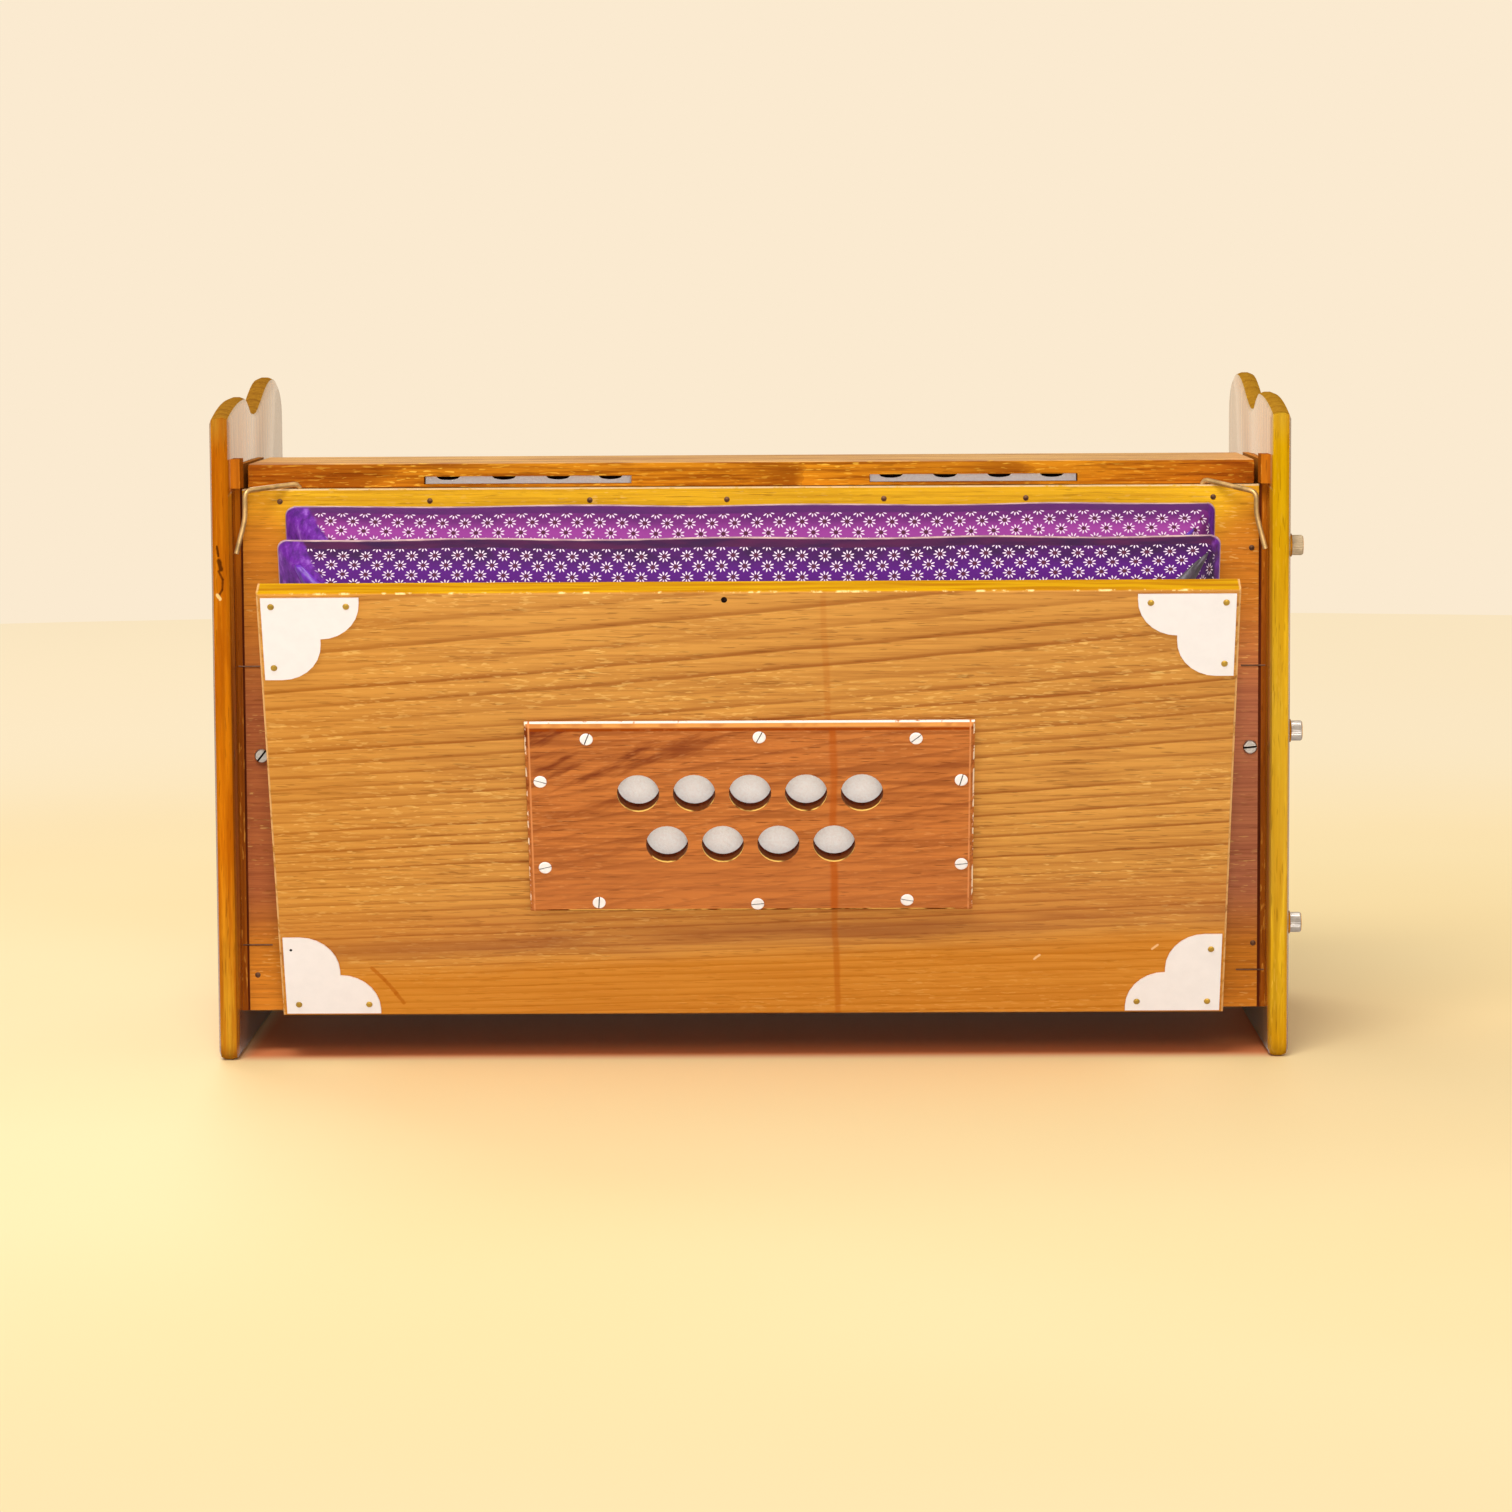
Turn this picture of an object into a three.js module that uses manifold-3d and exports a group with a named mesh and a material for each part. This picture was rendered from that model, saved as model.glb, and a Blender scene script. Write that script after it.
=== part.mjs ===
// An Indian harmonium: a hand-pumped reed organ with a keyboard of three octaves.
// Millimetres, +Z up. The bellows face -Y and the player sits at +Y, low notes at +X.
// It stands with its bellows fully open: they hinge at their lower edge, and the outer board leans out.
import * as THREE from "three";
import { mergeVertices } from "three/addons/utils/BufferGeometryUtils.js";
import Module from "manifold-3d";

const wasm = await Module();
wasm.setup();

// Driving sizes
const caseWidth = 610; // over the outer faces of the side boards
const caseDepth = 280; // bellows edge to keyboard edge of a side board
const floorGap = 25.5; // the case hangs this high between the side boards
const sideHeight = 384.5; // floor to the crest of a side board
const fitGap = 0.4; // between pieces that lie against each other
const cutOverrun = 5; // how far a cutting shape runs past what it cuts
const weldDistance = 1e-4; // corners this close are one

// Side boards, with a lobe, a notch and a crest along the top
const sideThickness = 11.5;
const cornerDrop = 18.5; // each drop is measured down from the crest
const lobeDrop = 8.5;
const notchDrop = 18.5;
const rearDrop = 24.5;
const sideEdgeRound = 4;
const sideFootRound = 7;
const lobeShare = 0.32;
const notchShare = 0.48;
const crestShare = 0.835;
const studRadius = 5.2;
const studFlangeRadius = 6.6;
const studFlangeThickness = 2;
const studLength = 8.5;
const studSetBack = 20;
const studHeightShares = [0.195, 0.481, 0.756]; // of the side board's height

// Case walls, front panel, frame board and base board
const frameDrop = 59.5; // crest to the frame board's top edge, where the lid lies
const wallThickness = 3.2;
const wallRise = 6; // over the frame board, in front of the lid
const panelThickness = 9;
const panelSetBack = 3; // of the front panel from the keyboard edge
const panelRise = 22; // over the reed board
const frameSetBack = 25;
const frameThickness = 10;
const baseThickness = 10;
const portRadius = 12.5;
const portColumns = 6;
const portRows = 2;
const portPitchShare = 0.13; // of the case width
const portLowShare = 0.3; // of the frame board's top
const portRowShare = 0.25;

// Lid over the reed chamber, with two sound slots in its rear edge
const lidThickness = 13.8;
const lidSeat = 2; // width of the frame board's edge that carries it
const lidDepth = 107;
const lidSideGap = 2.7;
const lidRound = 4;
const lidEndRound = 1.4;
const lipThickness = 8;
const lipDrop = 6.5;
const slotLength = 118.5;
const slotHeight = 4.5;
const slotWall = 19; // behind the slots
const slotFloor = 1.6;
const slotOffsetShare = 0.2085; // of the case width

// Reed board with its balance rail
const reedRoom = 35; // frame board's top to the reed board
const reedBoardThickness = 12;
const railHalfWidth = 5;
const ridgeRadius = 2.5;
const pivotHeight = 9; // of the ridge's centre over the reed board
const reedHoleWidth = 7;
const reedHoleLength = 26;

// Keys: three octaves from C to C
const octaves = 3;
const cheekWidth = 40; // what is left for the keys sets their pitch
const keyGap = 0.9;
const blackWidth = 12;
const pivotTuck = 5; // of the balance line under the lid's front
const keyTailGap = 7.6; // to the frame board
const keyUnderside = 1.3; // over the balance line
const whiteHeight = 17; // over the balance line
const notchClearance = 0.35;
const lipOverhang = 1.6;
const keyCap = 3;
const padInset = 4; // from the lever's far end
const padLength = 36;
const padGap = 0.5;
const blackBack = 7.5; // balance line to the sharps' raised blocks
const whiteHead = 45.5; // full width of a natural, in front of the sharps
const blackHeight = 27;
const blackLeverTop = 15;
const blackSlope = 7;
const blackShiftC = 1.8; // of the C and D sharps from the line between the naturals
const blackShiftF = 2.4; // of the F and A sharps
const headClearance = 1.5;

// Wooden surround of the keyboard: two cheeks, a slip and a stop batten
const cheekRise = 32; // over the reed board
const slipRise = 21;
const slipDepth = 11.6;
const slipGap = 2;
const battenDepth = 20;
const battenThickness = 1.2;

// Stops: turned knobs on rods through the front panel
const stopPlaceShares = [-0.345, -0.115, 0.115, 0.345]; // of the case width
const stopDrop = 16; // under the reed board
const rodRadius = 3.5;
const rodInside = 52;
const rodClearance = 0.5;
const knobRadius = 10.5;
const knobLength = 18;
const knobStandOff = 2;
const knobTurns = 18;

// Bellows: hinge line, leaning outer board and two pleats
const lean = THREE.MathUtils.degToRad(23.3);
const closedGap = 13; // frame face to outer board when shut
const hingeLift = 5.8; // of the hinge line over the case's underside
const hingeStripRise = 1.7; // over the hinge line
const boardSideGap = 22.4; // to the walls
const boardTopDrop = 23.7; // of its upper edge, when shut, under the frame board's
const boardThickness = 13.5;
const boardRound = 1.2;
const crestInsets = [6, 8]; // of the inner and outer pleat from the board's ends
const crestRises = [16.7, 13]; // of each crest over the board's upper edge
const pleatDepth = 27;
const pleatFoot = 3;
const pleatFootDepth = 3;
const pleatSkin = 1;
const crestRound = 7;

// Air panel with nine holes, and the leather flap behind it
const airPanelWidth = 248;
const airPanelHeight = 120;
const airPanelThickness = 6;
const airPanelBevel = 2.2;
const airPanelFoot = 71.7; // hinge line to the panel's lower edge
const airHoleRadius = 11.75;
const airHolePitch = 31;
const airRowRises = [76.3, 43.8]; // panel's lower edge to each row
const airRowCounts = [5, 4];
const pocketDepth = 6; // in the board's outer face, under the panel
const pocketMargin = 7; // around the holes
const flapThickness = 2;
const flapSlack = 0.6;

// Corner plates
const plateThickness = 1;
const plateWide = 53.5;
const plateHigh = 50;
const plateLobe = 22;
const plateInset = 2.4;

// Wire catches: each turns in a hole in the frame board's top edge
const wireRadius = 1.5;
const wireClearance = 0.4;
const catchInset = 32.5; // of the pivot from the frame board's end
const catchRoot = 9; // in the frame board
const catchLift = 3; // of the arm over the frame board
const catchArm = 36;
const catchSags = [3, 6.5]; // of the left and the right arm, to its outer end
const catchTip = 35.5; // of the lower end under the frame board's top
const catchKick = 6; // of the lower end, outward
const catchBend = 4;
const catchSideGap = 1.2; // of the tip to the side board, at rest

// Places worked out from the sizes above
const sideInner = caseWidth / 2 - sideThickness;
const innerHalf = sideInner - fitGap; // outer faces of the walls
const roomHalf = innerHalf - wallThickness; // inner faces of the walls
const lidHalf = roomHalf - lidSideGap;
const frameHalf = roomHalf - fitGap;
const lidSetBack = frameSetBack + frameThickness - lidSeat;
const behindFrame = frameSetBack + frameThickness + fitGap;
const frameTop = sideHeight - frameDrop;
const lidBottom = frameTop + fitGap;
const lidTop = lidBottom + lidThickness;
const lidFront = lidSetBack + lidDepth;
const baseTop = floorGap + baseThickness;
const panelFront = caseDepth - panelSetBack;
const panelBack = panelFront - panelThickness;
const reedBoardTop = frameTop - reedRoom;
const reedBoardBottom = reedBoardTop - reedBoardThickness;
const stopHeight = reedBoardBottom - stopDrop;
const pivotY = lidFront - pivotTuck;
const pivotZ = reedBoardTop + pivotHeight;
const whiteCount = 7 * octaves + 1;
const keysHalf = frameHalf - cheekWidth - keyGap;
const whitePitch = (2 * keysHalf) / whiteCount;
const keyTail = pivotY - behindFrame - keyTailGap;
const padFar = keyTail - padInset;
const padNear = padFar - padLength;
const slipBack = panelBack - fitGap - slipDepth;
const keyFront = slipBack - slipGap - pivotY;
const headBack = keyFront - whiteHead;
const blackFront = headBack - headClearance;
const hingeY = frameSetBack - closedGap;
const hingeZ = floorGap + hingeLift;
const boardWidth = 2 * (roomHalf - boardSideGap);
const boardHeight = frameTop - boardTopDrop - hingeZ;
const catchPivotX = frameHalf - catchInset;
const catchSetBack = (frameSetBack + lidSetBack) / 2;
const catchRestAngle = Math.acos(
  (sideInner - catchSideGap - wireRadius - catchPivotX) / (catchArm + catchKick),
);

// Materials
const paint = (color, roughness, metalness = 0) =>
  new THREE.MeshStandardMaterial({ color, roughness, metalness });
const teak = paint(0xb9762a, 0.4);
const frameWood = paint(0xc88a34, 0.45);
const darkWood = paint(0x8a4f26, 0.42);
const panelWood = paint(0x9a5a32, 0.4);
const paleWood = paint(0xd8b078, 0.6);
const silver = paint(0xe9e4df, 0.35, 0.6);
const brass = paint(0xb9975a, 0.35, 0.9);
const cloth = paint(0x5c2a9a, 0.8);
const leather = paint(0xf1ede8, 0.85);
const ivory = paint(0xf3efe2, 0.25);
const ebony = paint(0x15120f, 0.25);

// Solids: a closed geometry as a manifold, and back
function solid(geometry) {
  const bare = geometry.clone();
  bare.deleteAttribute("normal");
  bare.deleteAttribute("uv");
  const merged = mergeVertices(bare, weldDistance);
  return new wasm.Manifold(
    new wasm.Mesh({
      numProp: 3,
      vertProperties: merged.attributes.position.array,
      triVerts: new Uint32Array(merged.index.array),
    }),
  );
}

function geometryOf(manifold) {
  const mesh = manifold.getMesh();
  const geometry = new THREE.BufferGeometry();
  geometry.setAttribute("position", new THREE.BufferAttribute(mesh.vertProperties, 3));
  geometry.setIndex(new THREE.BufferAttribute(mesh.triVerts, 1));
  const flat = geometry.toNonIndexed();
  flat.computeVertexNormals();
  return flat;
}

const cut = (body, ...tools) =>
  geometryOf(tools.reduce((left, tool) => left.subtract(solid(tool)), solid(body)));
const fuse = (...parts) =>
  geometryOf(parts.map(solid).reduce((left, right) => left.add(right)));
const common = (one, other) => geometryOf(solid(one).intersect(solid(other)));

// Basic shapes
function block(x0, x1, y0, y1, z0, z1) {
  const box = new THREE.BoxGeometry(x1 - x0, y1 - y0, z1 - z0);
  return box.translate((x0 + x1) / 2, (y0 + y1) / 2, (z0 + z1) / 2);
}

function rod(radius, y0, y1, x, z, sides = 16) {
  const shape = new THREE.CylinderGeometry(radius, radius, y1 - y0, sides);
  return shape.translate(x, (y0 + y1) / 2, z);
}

// A shape whose axes mean (Y, Z), extruded along X from -half to +half, its ends rounded
function alongX(shape, half, round = 0, curveSegments = 8) {
  const geometry = new THREE.ExtrudeGeometry(shape, {
    depth: 2 * (half - round),
    bevelEnabled: round > 0,
    bevelThickness: round,
    bevelSize: round,
    bevelOffset: -round,
    bevelSegments: 2,
    curveSegments,
  });
  geometry.translate(0, 0, round - half);
  const turn = new THREE.Matrix4().makeBasis(
    new THREE.Vector3(0, 1, 0),
    new THREE.Vector3(0, 0, 1),
    new THREE.Vector3(1, 0, 0),
  );
  return geometry.applyMatrix4(turn);
}

// A shape whose axes mean (X, Z), as a board whose faces lie at y0 and y1
function boardXZ(shape, y0, y1, round = 0, curveSegments = 8) {
  const geometry = new THREE.ExtrudeGeometry(shape, {
    depth: y1 - y0 - 2 * round,
    bevelEnabled: round > 0,
    bevelThickness: round,
    bevelSize: round,
    bevelOffset: -round,
    bevelSegments: 1,
    curveSegments,
  });
  return geometry.rotateX(Math.PI / 2).translate(0, y1 - round, 0);
}

// A shape whose axes mean (X, Y), as a board from z0 to z1
function boardXY(shape, z0, z1) {
  const geometry = new THREE.ExtrudeGeometry(shape, { depth: z1 - z0, bevelEnabled: false });
  return geometry.translate(0, 0, z0);
}

function polygon(points) {
  return new THREE.Shape(points.map(([x, y]) => new THREE.Vector2(x, y)));
}

function rectangle(x0, x1, y0, y1) {
  return polygon([
    [x0, y0],
    [x1, y0],
    [x1, y1],
    [x0, y1],
  ]);
}

function roundHole(shape, x, y, radius) {
  const hole = new THREE.Path();
  hole.absarc(x, y, radius, 0, 2 * Math.PI, true);
  shape.holes.push(hole);
}

const part = new THREE.Group();

function piece(name, geometry, material, parent = part) {
  const mesh = new THREE.Mesh(geometry, material);
  mesh.name = name;
  parent.add(mesh);
  return mesh;
}

// Side boards
function sideOutline() {
  const lobeY = lobeShare * caseDepth;
  const notchY = notchShare * caseDepth;
  const crestY = crestShare * caseDepth;
  const sideCornerHeight = sideHeight - cornerDrop;
  const sideLobeHeight = sideHeight - lobeDrop;
  const sideNotchHeight = sideHeight - notchDrop;
  const sideRearHeight = sideHeight - rearDrop;
  const towards = THREE.MathUtils.lerp;
  const shape = new THREE.Shape();
  shape.moveTo(sideFootRound, 0);
  shape.lineTo(caseDepth - sideFootRound, 0);
  shape.quadraticCurveTo(caseDepth, 0, caseDepth, sideFootRound);
  shape.lineTo(caseDepth, sideRearHeight);
  shape.bezierCurveTo(
    caseDepth,
    towards(sideRearHeight, sideHeight, 0.6),
    towards(caseDepth, crestY, 0.45),
    sideHeight,
    crestY,
    sideHeight,
  );
  shape.bezierCurveTo(
    towards(crestY, notchY, 0.44),
    sideHeight,
    towards(crestY, notchY, 0.72),
    sideNotchHeight,
    notchY,
    sideNotchHeight,
  );
  shape.bezierCurveTo(
    towards(notchY, lobeY, 0.6),
    sideNotchHeight,
    towards(notchY, lobeY, 0.72),
    sideLobeHeight,
    lobeY,
    sideLobeHeight,
  );
  shape.bezierCurveTo(
    towards(lobeY, 0, 0.32),
    sideLobeHeight,
    towards(lobeY, 0, 0.68),
    towards(sideLobeHeight, sideCornerHeight, 0.35),
    0,
    sideCornerHeight,
  );
  shape.lineTo(0, sideFootRound);
  shape.quadraticCurveTo(0, 0, sideFootRound, 0);
  return shape;
}

// A metal stud that stands out of the right side board, rooted in its outer layer
function stud(z) {
  const root = sideThickness / 2 - sideThickness / 4;
  const turned = (radius, length) => {
    const shape = new THREE.CylinderGeometry(radius, radius, root + length, 16);
    return shape.rotateZ(Math.PI / 2).translate(root + (root + length) / 2, studSetBack, z);
  };
  return fuse(turned(studRadius, studLength), turned(studFlangeRadius, studFlangeThickness));
}

function buildSideBoards() {
  const board = alongX(sideOutline(), sideThickness / 2, sideEdgeRound, 9);
  const centre = caseWidth / 2 - sideThickness / 2;
  piece("side_board_left", board, teak).position.x = -centre;
  const studded = fuse(board, ...studHeightShares.map((share) => stud(share * sideHeight)));
  piece("side_board_right", studded, teak).position.x = centre;
}

// Case: base board, walls with front panel, frame board
function buildCase() {
  piece(
    "base_board",
    block(-frameHalf, frameHalf, behindFrame, panelBack - fitGap, floorGap, baseTop),
    darkWood,
  );

  const wallShape = polygon([
    [frameSetBack, floorGap],
    [panelFront, floorGap],
    [panelFront, frameTop + wallRise],
    [lidFront, frameTop + wallRise],
    [lidFront, lidTop],
    [frameSetBack, lidTop],
  ]);
  const wall = alongX(wallShape, wallThickness / 2);
  const wallCentre = innerHalf - wallThickness / 2;
  const panelTop = reedBoardTop + panelRise;
  const panel = block(-wallCentre, wallCentre, panelBack, panelFront, floorGap, panelTop);
  const holes = stopPlaceShares.map((share) =>
    rod(
      rodRadius + rodClearance,
      panelBack - cutOverrun,
      panelFront + cutOverrun,
      share * caseWidth,
      stopHeight,
    ),
  );
  const box = fuse(
    wall.clone().translate(-wallCentre, 0, 0),
    wall.clone().translate(wallCentre, 0, 0),
    panel,
  );
  piece("case_walls", cut(box, ...holes), teak);
}

// Frame board, with the strip that the bellows board is hinged to
function buildFrame() {
  const shape = rectangle(-frameHalf, frameHalf, floorGap, frameTop);
  for (let row = 0; row < portRows; row++) {
    for (let column = 0; column < portColumns; column++) {
      const x = (column - (portColumns - 1) / 2) * portPitchShare * caseWidth;
      const z = (portLowShare + row * portRowShare) * frameTop;
      roundHole(shape, x, z, portRadius);
    }
  }
  const board = boardXZ(shape, frameSetBack, frameSetBack + frameThickness, 0, 7);
  const strip = block(
    -boardWidth / 2,
    boardWidth / 2,
    hingeY + fitGap,
    frameSetBack + frameThickness / 2,
    floorGap,
    hingeZ + hingeStripRise,
  );
  const sockets = [-1, 1].map((sign) => {
    const depth = catchRoot + 2 * wireClearance;
    const socket = new THREE.CylinderGeometry(
      wireRadius + wireClearance,
      wireRadius + wireClearance,
      depth + cutOverrun,
      12,
    );
    socket.rotateX(Math.PI / 2);
    return socket.translate(sign * catchPivotX, catchSetBack, frameTop + (cutOverrun - depth) / 2);
  });
  piece("frame_board", cut(fuse(board, strip), ...sockets), frameWood);
}

// Lid
function buildLid() {
  const shape = new THREE.Shape();
  shape.moveTo(lidSetBack, lidBottom);
  shape.lineTo(lidFront - lipThickness, lidBottom);
  shape.lineTo(lidFront - lipThickness, lidBottom - lipDrop);
  shape.lineTo(lidFront, lidBottom - lipDrop);
  shape.lineTo(lidFront, lidTop - lidRound);
  shape.quadraticCurveTo(lidFront, lidTop, lidFront - lidRound, lidTop);
  shape.lineTo(lidSetBack + lidRound, lidTop);
  shape.quadraticCurveTo(lidSetBack, lidTop, lidSetBack, lidTop - lidRound);
  const slots = [-1, 1].map((sign) =>
    block(
      sign * slotOffsetShare * caseWidth - slotLength / 2,
      sign * slotOffsetShare * caseWidth + slotLength / 2,
      lidSetBack - cutOverrun,
      lidFront - slotWall,
      lidBottom + slotFloor,
      lidBottom + slotFloor + slotHeight,
    ),
  );
  piece("lid", cut(alongX(shape, lidHalf, lidEndRound, 4), ...slots), teak);
}

// Keyboard layout: each natural's place, and each sharp's place and the naturals beside it
const sharpAfter = [blackShiftC, -blackShiftC, null, blackShiftF, 0, -blackShiftF, null];

function layout() {
  const keys = [];
  for (let i = 0; i < whiteCount; i++) {
    const left = keysHalf - i * whitePitch;
    const last = i === whiteCount - 1;
    const before = i === 0 ? null : sharpAfter[(i + 6) % 7];
    const after = last ? null : sharpAfter[i % 7];
    keys.push({ left, right: left - whitePitch, before, after });
  }
  return keys;
}

// Side view of a natural, its balance line at the origin
function naturalProfile() {
  const seat = ridgeRadius + notchClearance;
  const reach = Math.sqrt(seat * seat - keyUnderside * keyUnderside);
  const padFoot = padGap - pivotHeight;
  const shape = new THREE.Shape();
  shape.moveTo(-keyTail, keyUnderside);
  shape.lineTo(-padFar, keyUnderside);
  shape.lineTo(-padFar, padFoot);
  shape.lineTo(-padNear, padFoot);
  shape.lineTo(-padNear, keyUnderside);
  shape.lineTo(-reach, keyUnderside);
  const rise = Math.asin(keyUnderside / seat);
  shape.absarc(0, 0, seat, Math.PI - rise, rise, true);
  return { shape, reach };
}

function buildKeys(keyboard) {
  const width = caseWidth / 2;

  const white = naturalProfile().shape;
  white.lineTo(keyFront - lipOverhang, keyUnderside);
  white.lineTo(keyFront - lipOverhang, whiteHeight - keyCap);
  white.lineTo(keyFront, whiteHeight - keyCap);
  white.lineTo(keyFront, whiteHeight);
  white.lineTo(-keyTail, whiteHeight);
  const whiteSide = alongX(white, width, 0, 3);

  const black = naturalProfile().shape;
  black.lineTo(blackFront, keyUnderside);
  black.lineTo(blackFront, whiteHeight);
  black.lineTo(blackFront - blackSlope, blackHeight);
  black.lineTo(blackBack, blackHeight);
  black.lineTo(blackBack, blackLeverTop);
  black.lineTo(-keyTail, blackLeverTop);
  const sharp = alongX(black, blackWidth / 2, 0, 3);

  const sideOf = (line, shift) => line - shift;
  let naturals = 0;
  let sharps = 0;
  for (const key of layout()) {
    const x1 = key.left - keyGap / 2;
    const x0 = key.right + keyGap / 2;
    const clear = blackWidth / 2 + keyGap;
    const tail1 = key.before === null ? x1 : sideOf(key.left, -key.before) - clear;
    const tail0 = key.after === null ? x0 : sideOf(key.right, -key.after) + clear;
    const plan = polygon([
      [x0, keyFront],
      [x0, headBack],
      [tail0, headBack],
      [tail0, -keyTail],
      [tail1, -keyTail],
      [tail1, headBack],
      [x1, headBack],
      [x1, keyFront],
    ]);
    const slab = boardXY(plan, -pivotHeight, whiteHeight + cutOverrun);
    naturals += 1;
    const number = String(naturals).padStart(2, "0");
    piece("white_key_" + number, common(slab, whiteSide), ivory, keyboard);
    if (key.after !== null) {
      sharps += 1;
      const place = sideOf(key.right, -key.after);
      const mesh = piece("black_key_" + String(sharps).padStart(2, "0"), sharp, ebony, keyboard);
      mesh.position.x = place;
    }
  }
}

// Reed board: a slot under each key's pad, and the balance rail on top
function padPlaces() {
  const places = [];
  for (const key of layout()) {
    const clear = blackWidth / 2 + keyGap;
    const high = key.before === null ? key.left : key.left + key.before - clear;
    const low = key.after === null ? key.right : key.right + key.after + clear;
    places.push((high + low) / 2);
    if (key.after !== null) places.push(key.right + key.after);
  }
  return places;
}

function buildReedBoard() {
  const holeMiddle = pivotY - (padFar + padNear) / 2;
  const holes = padPlaces().map((x) =>
    block(
      x - reedHoleWidth / 2,
      x + reedHoleWidth / 2,
      holeMiddle - reedHoleLength / 2,
      holeMiddle + reedHoleLength / 2,
      reedBoardBottom - cutOverrun,
      reedBoardTop + cutOverrun,
    ),
  );
  const board = block(
    fitGap - roomHalf,
    roomHalf - fitGap,
    behindFrame,
    panelBack - fitGap,
    reedBoardBottom,
    reedBoardTop,
  );
  const railShape = new THREE.Shape();
  const shoulder = -ridgeRadius / 4;
  const cheek = Math.sqrt(ridgeRadius * ridgeRadius - shoulder * shoulder);
  const dip = Math.asin(-shoulder / ridgeRadius);
  railShape.moveTo(-railHalfWidth, -pivotHeight - reedBoardThickness / 4);
  railShape.lineTo(railHalfWidth, -pivotHeight - reedBoardThickness / 4);
  railShape.lineTo(railHalfWidth, shoulder);
  railShape.lineTo(cheek, shoulder);
  railShape.absarc(0, 0, ridgeRadius, -dip, Math.PI + dip, false);
  railShape.lineTo(-railHalfWidth, shoulder);
  const rail = alongX(railShape, keysHalf, 0, 4).translate(0, pivotY, pivotZ);
  piece("reed_board", cut(fuse(board, rail), ...holes), paleWood);
}

// The cheeks run on under the lid as rails that carry it, and dip below its lip
function buildSurround() {
  const foot = reedBoardTop + fitGap;
  const inner = keysHalf + keyGap;
  const outer = roomHalf - fitGap;
  const front = panelBack - fitGap;
  const lipBack = lidFront - lipThickness - fitGap;
  const cheekShape = polygon([
    [behindFrame, foot],
    [front, foot],
    [front, reedBoardTop + cheekRise],
    [lidFront + fitGap, reedBoardTop + cheekRise],
    [lidFront + fitGap, lidBottom - lipDrop - fitGap],
    [lipBack, lidBottom - lipDrop - fitGap],
    [lipBack, lidBottom - fitGap],
    [behindFrame, lidBottom - fitGap],
  ]);
  const cheek = alongX(cheekShape, (outer - inner) / 2);
  const cheekAt = (inner + outer) / 2;
  const slip = block(
    -inner - cutOverrun,
    inner + cutOverrun,
    slipBack,
    front,
    foot,
    reedBoardTop + slipRise,
  );
  const batten = block(
    -inner - cutOverrun,
    inner + cutOverrun,
    slipBack - battenDepth,
    slipBack + cutOverrun,
    foot,
    foot + battenThickness,
  );
  piece(
    "keyboard_surround",
    fuse(
      cheek.clone().translate(-cheekAt, 0, 0),
      cheek.clone().translate(cheekAt, 0, 0),
      slip,
      batten,
    ),
    darkWood,
  );
}

// Stops: the lathe's axis is the rod's
function buildStops() {
  const neck = panelFront + knobStandOff;
  const along = (share) => neck + share * knobLength;
  const wide = (share) => share * knobRadius;
  const profile = [
    [0, panelBack - rodInside],
    [rodRadius, panelBack - rodInside],
    [rodRadius, neck],
    [wide(0.72), neck],
    [wide(0.72), along(0.1)],
    [wide(0.48), along(0.24)],
    [wide(0.55), along(0.4)],
    [wide(0.95), along(0.56)],
    [wide(1), along(0.7)],
    [wide(0.9), along(0.86)],
    [wide(0.5), along(0.97)],
    [0, along(1)],
  ].map(([r, y]) => new THREE.Vector2(r, y));
  stopPlaceShares.forEach((share, i) => {
    const knob = piece("stop_knob_" + (i + 1), new THREE.LatheGeometry(profile, knobTurns), ivory);
    knob.position.set(share * caseWidth, 0, stopHeight);
  });
}

// Bellows board and what it carries, in the board's own frame: its inner face at Y 0, hinge at Z 0
const airRows = airRowRises.map((rise) => airPanelFoot + rise);

function airHoles() {
  const holes = [];
  airRows.forEach((z, row) => {
    const count = airRowCounts[row];
    for (let i = 0; i < count; i++) {
      holes.push([(i - (count - 1) / 2) * airHolePitch, z]);
    }
  });
  return holes;
}

function buildBellowsBoard(bellows) {
  const outer = -boardThickness;
  const holes = airHoles();
  const pocketHalf = Math.max(...holes.map(([x]) => x)) + airHoleRadius + pocketMargin;
  const pocketLow = Math.min(...airRows) - airHoleRadius - pocketMargin;
  const pocketHigh = Math.max(...airRows) + airHoleRadius + pocketMargin;

  const drills = (sides) =>
    holes.map(([x, z]) =>
      rod(airHoleRadius, outer - airPanelThickness - cutOverrun, cutOverrun, x, z, sides),
    );
  const pocket = block(
    -pocketHalf,
    pocketHalf,
    outer - cutOverrun,
    outer + pocketDepth,
    pocketLow,
    pocketHigh,
  );
  const boardShape = rectangle(-boardWidth / 2, boardWidth / 2, 0, boardHeight);
  const board = cut(boardXZ(boardShape, outer, 0, boardRound), pocket, ...drills(16));
  piece("bellows_board", board, frameWood, bellows);

  const panelShape = rectangle(
    -airPanelWidth / 2,
    airPanelWidth / 2,
    airPanelFoot,
    airPanelFoot + airPanelHeight,
  );
  const panelInner = outer - fitGap;
  const panel = boardXZ(panelShape, panelInner - airPanelThickness, panelInner, airPanelBevel);
  piece("air_panel", cut(panel, ...drills(28)), panelWood, bellows);

  const flapFront = outer + pocketDepth - fitGap - flapThickness; // it lies on the pocket's floor
  piece(
    "valve_leather",
    block(
      flapSlack - pocketHalf,
      pocketHalf - flapSlack,
      flapFront,
      flapFront + flapThickness,
      pocketLow + flapSlack,
      pocketHigh - flapSlack,
    ),
    leather,
    bellows,
  );
}

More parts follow.
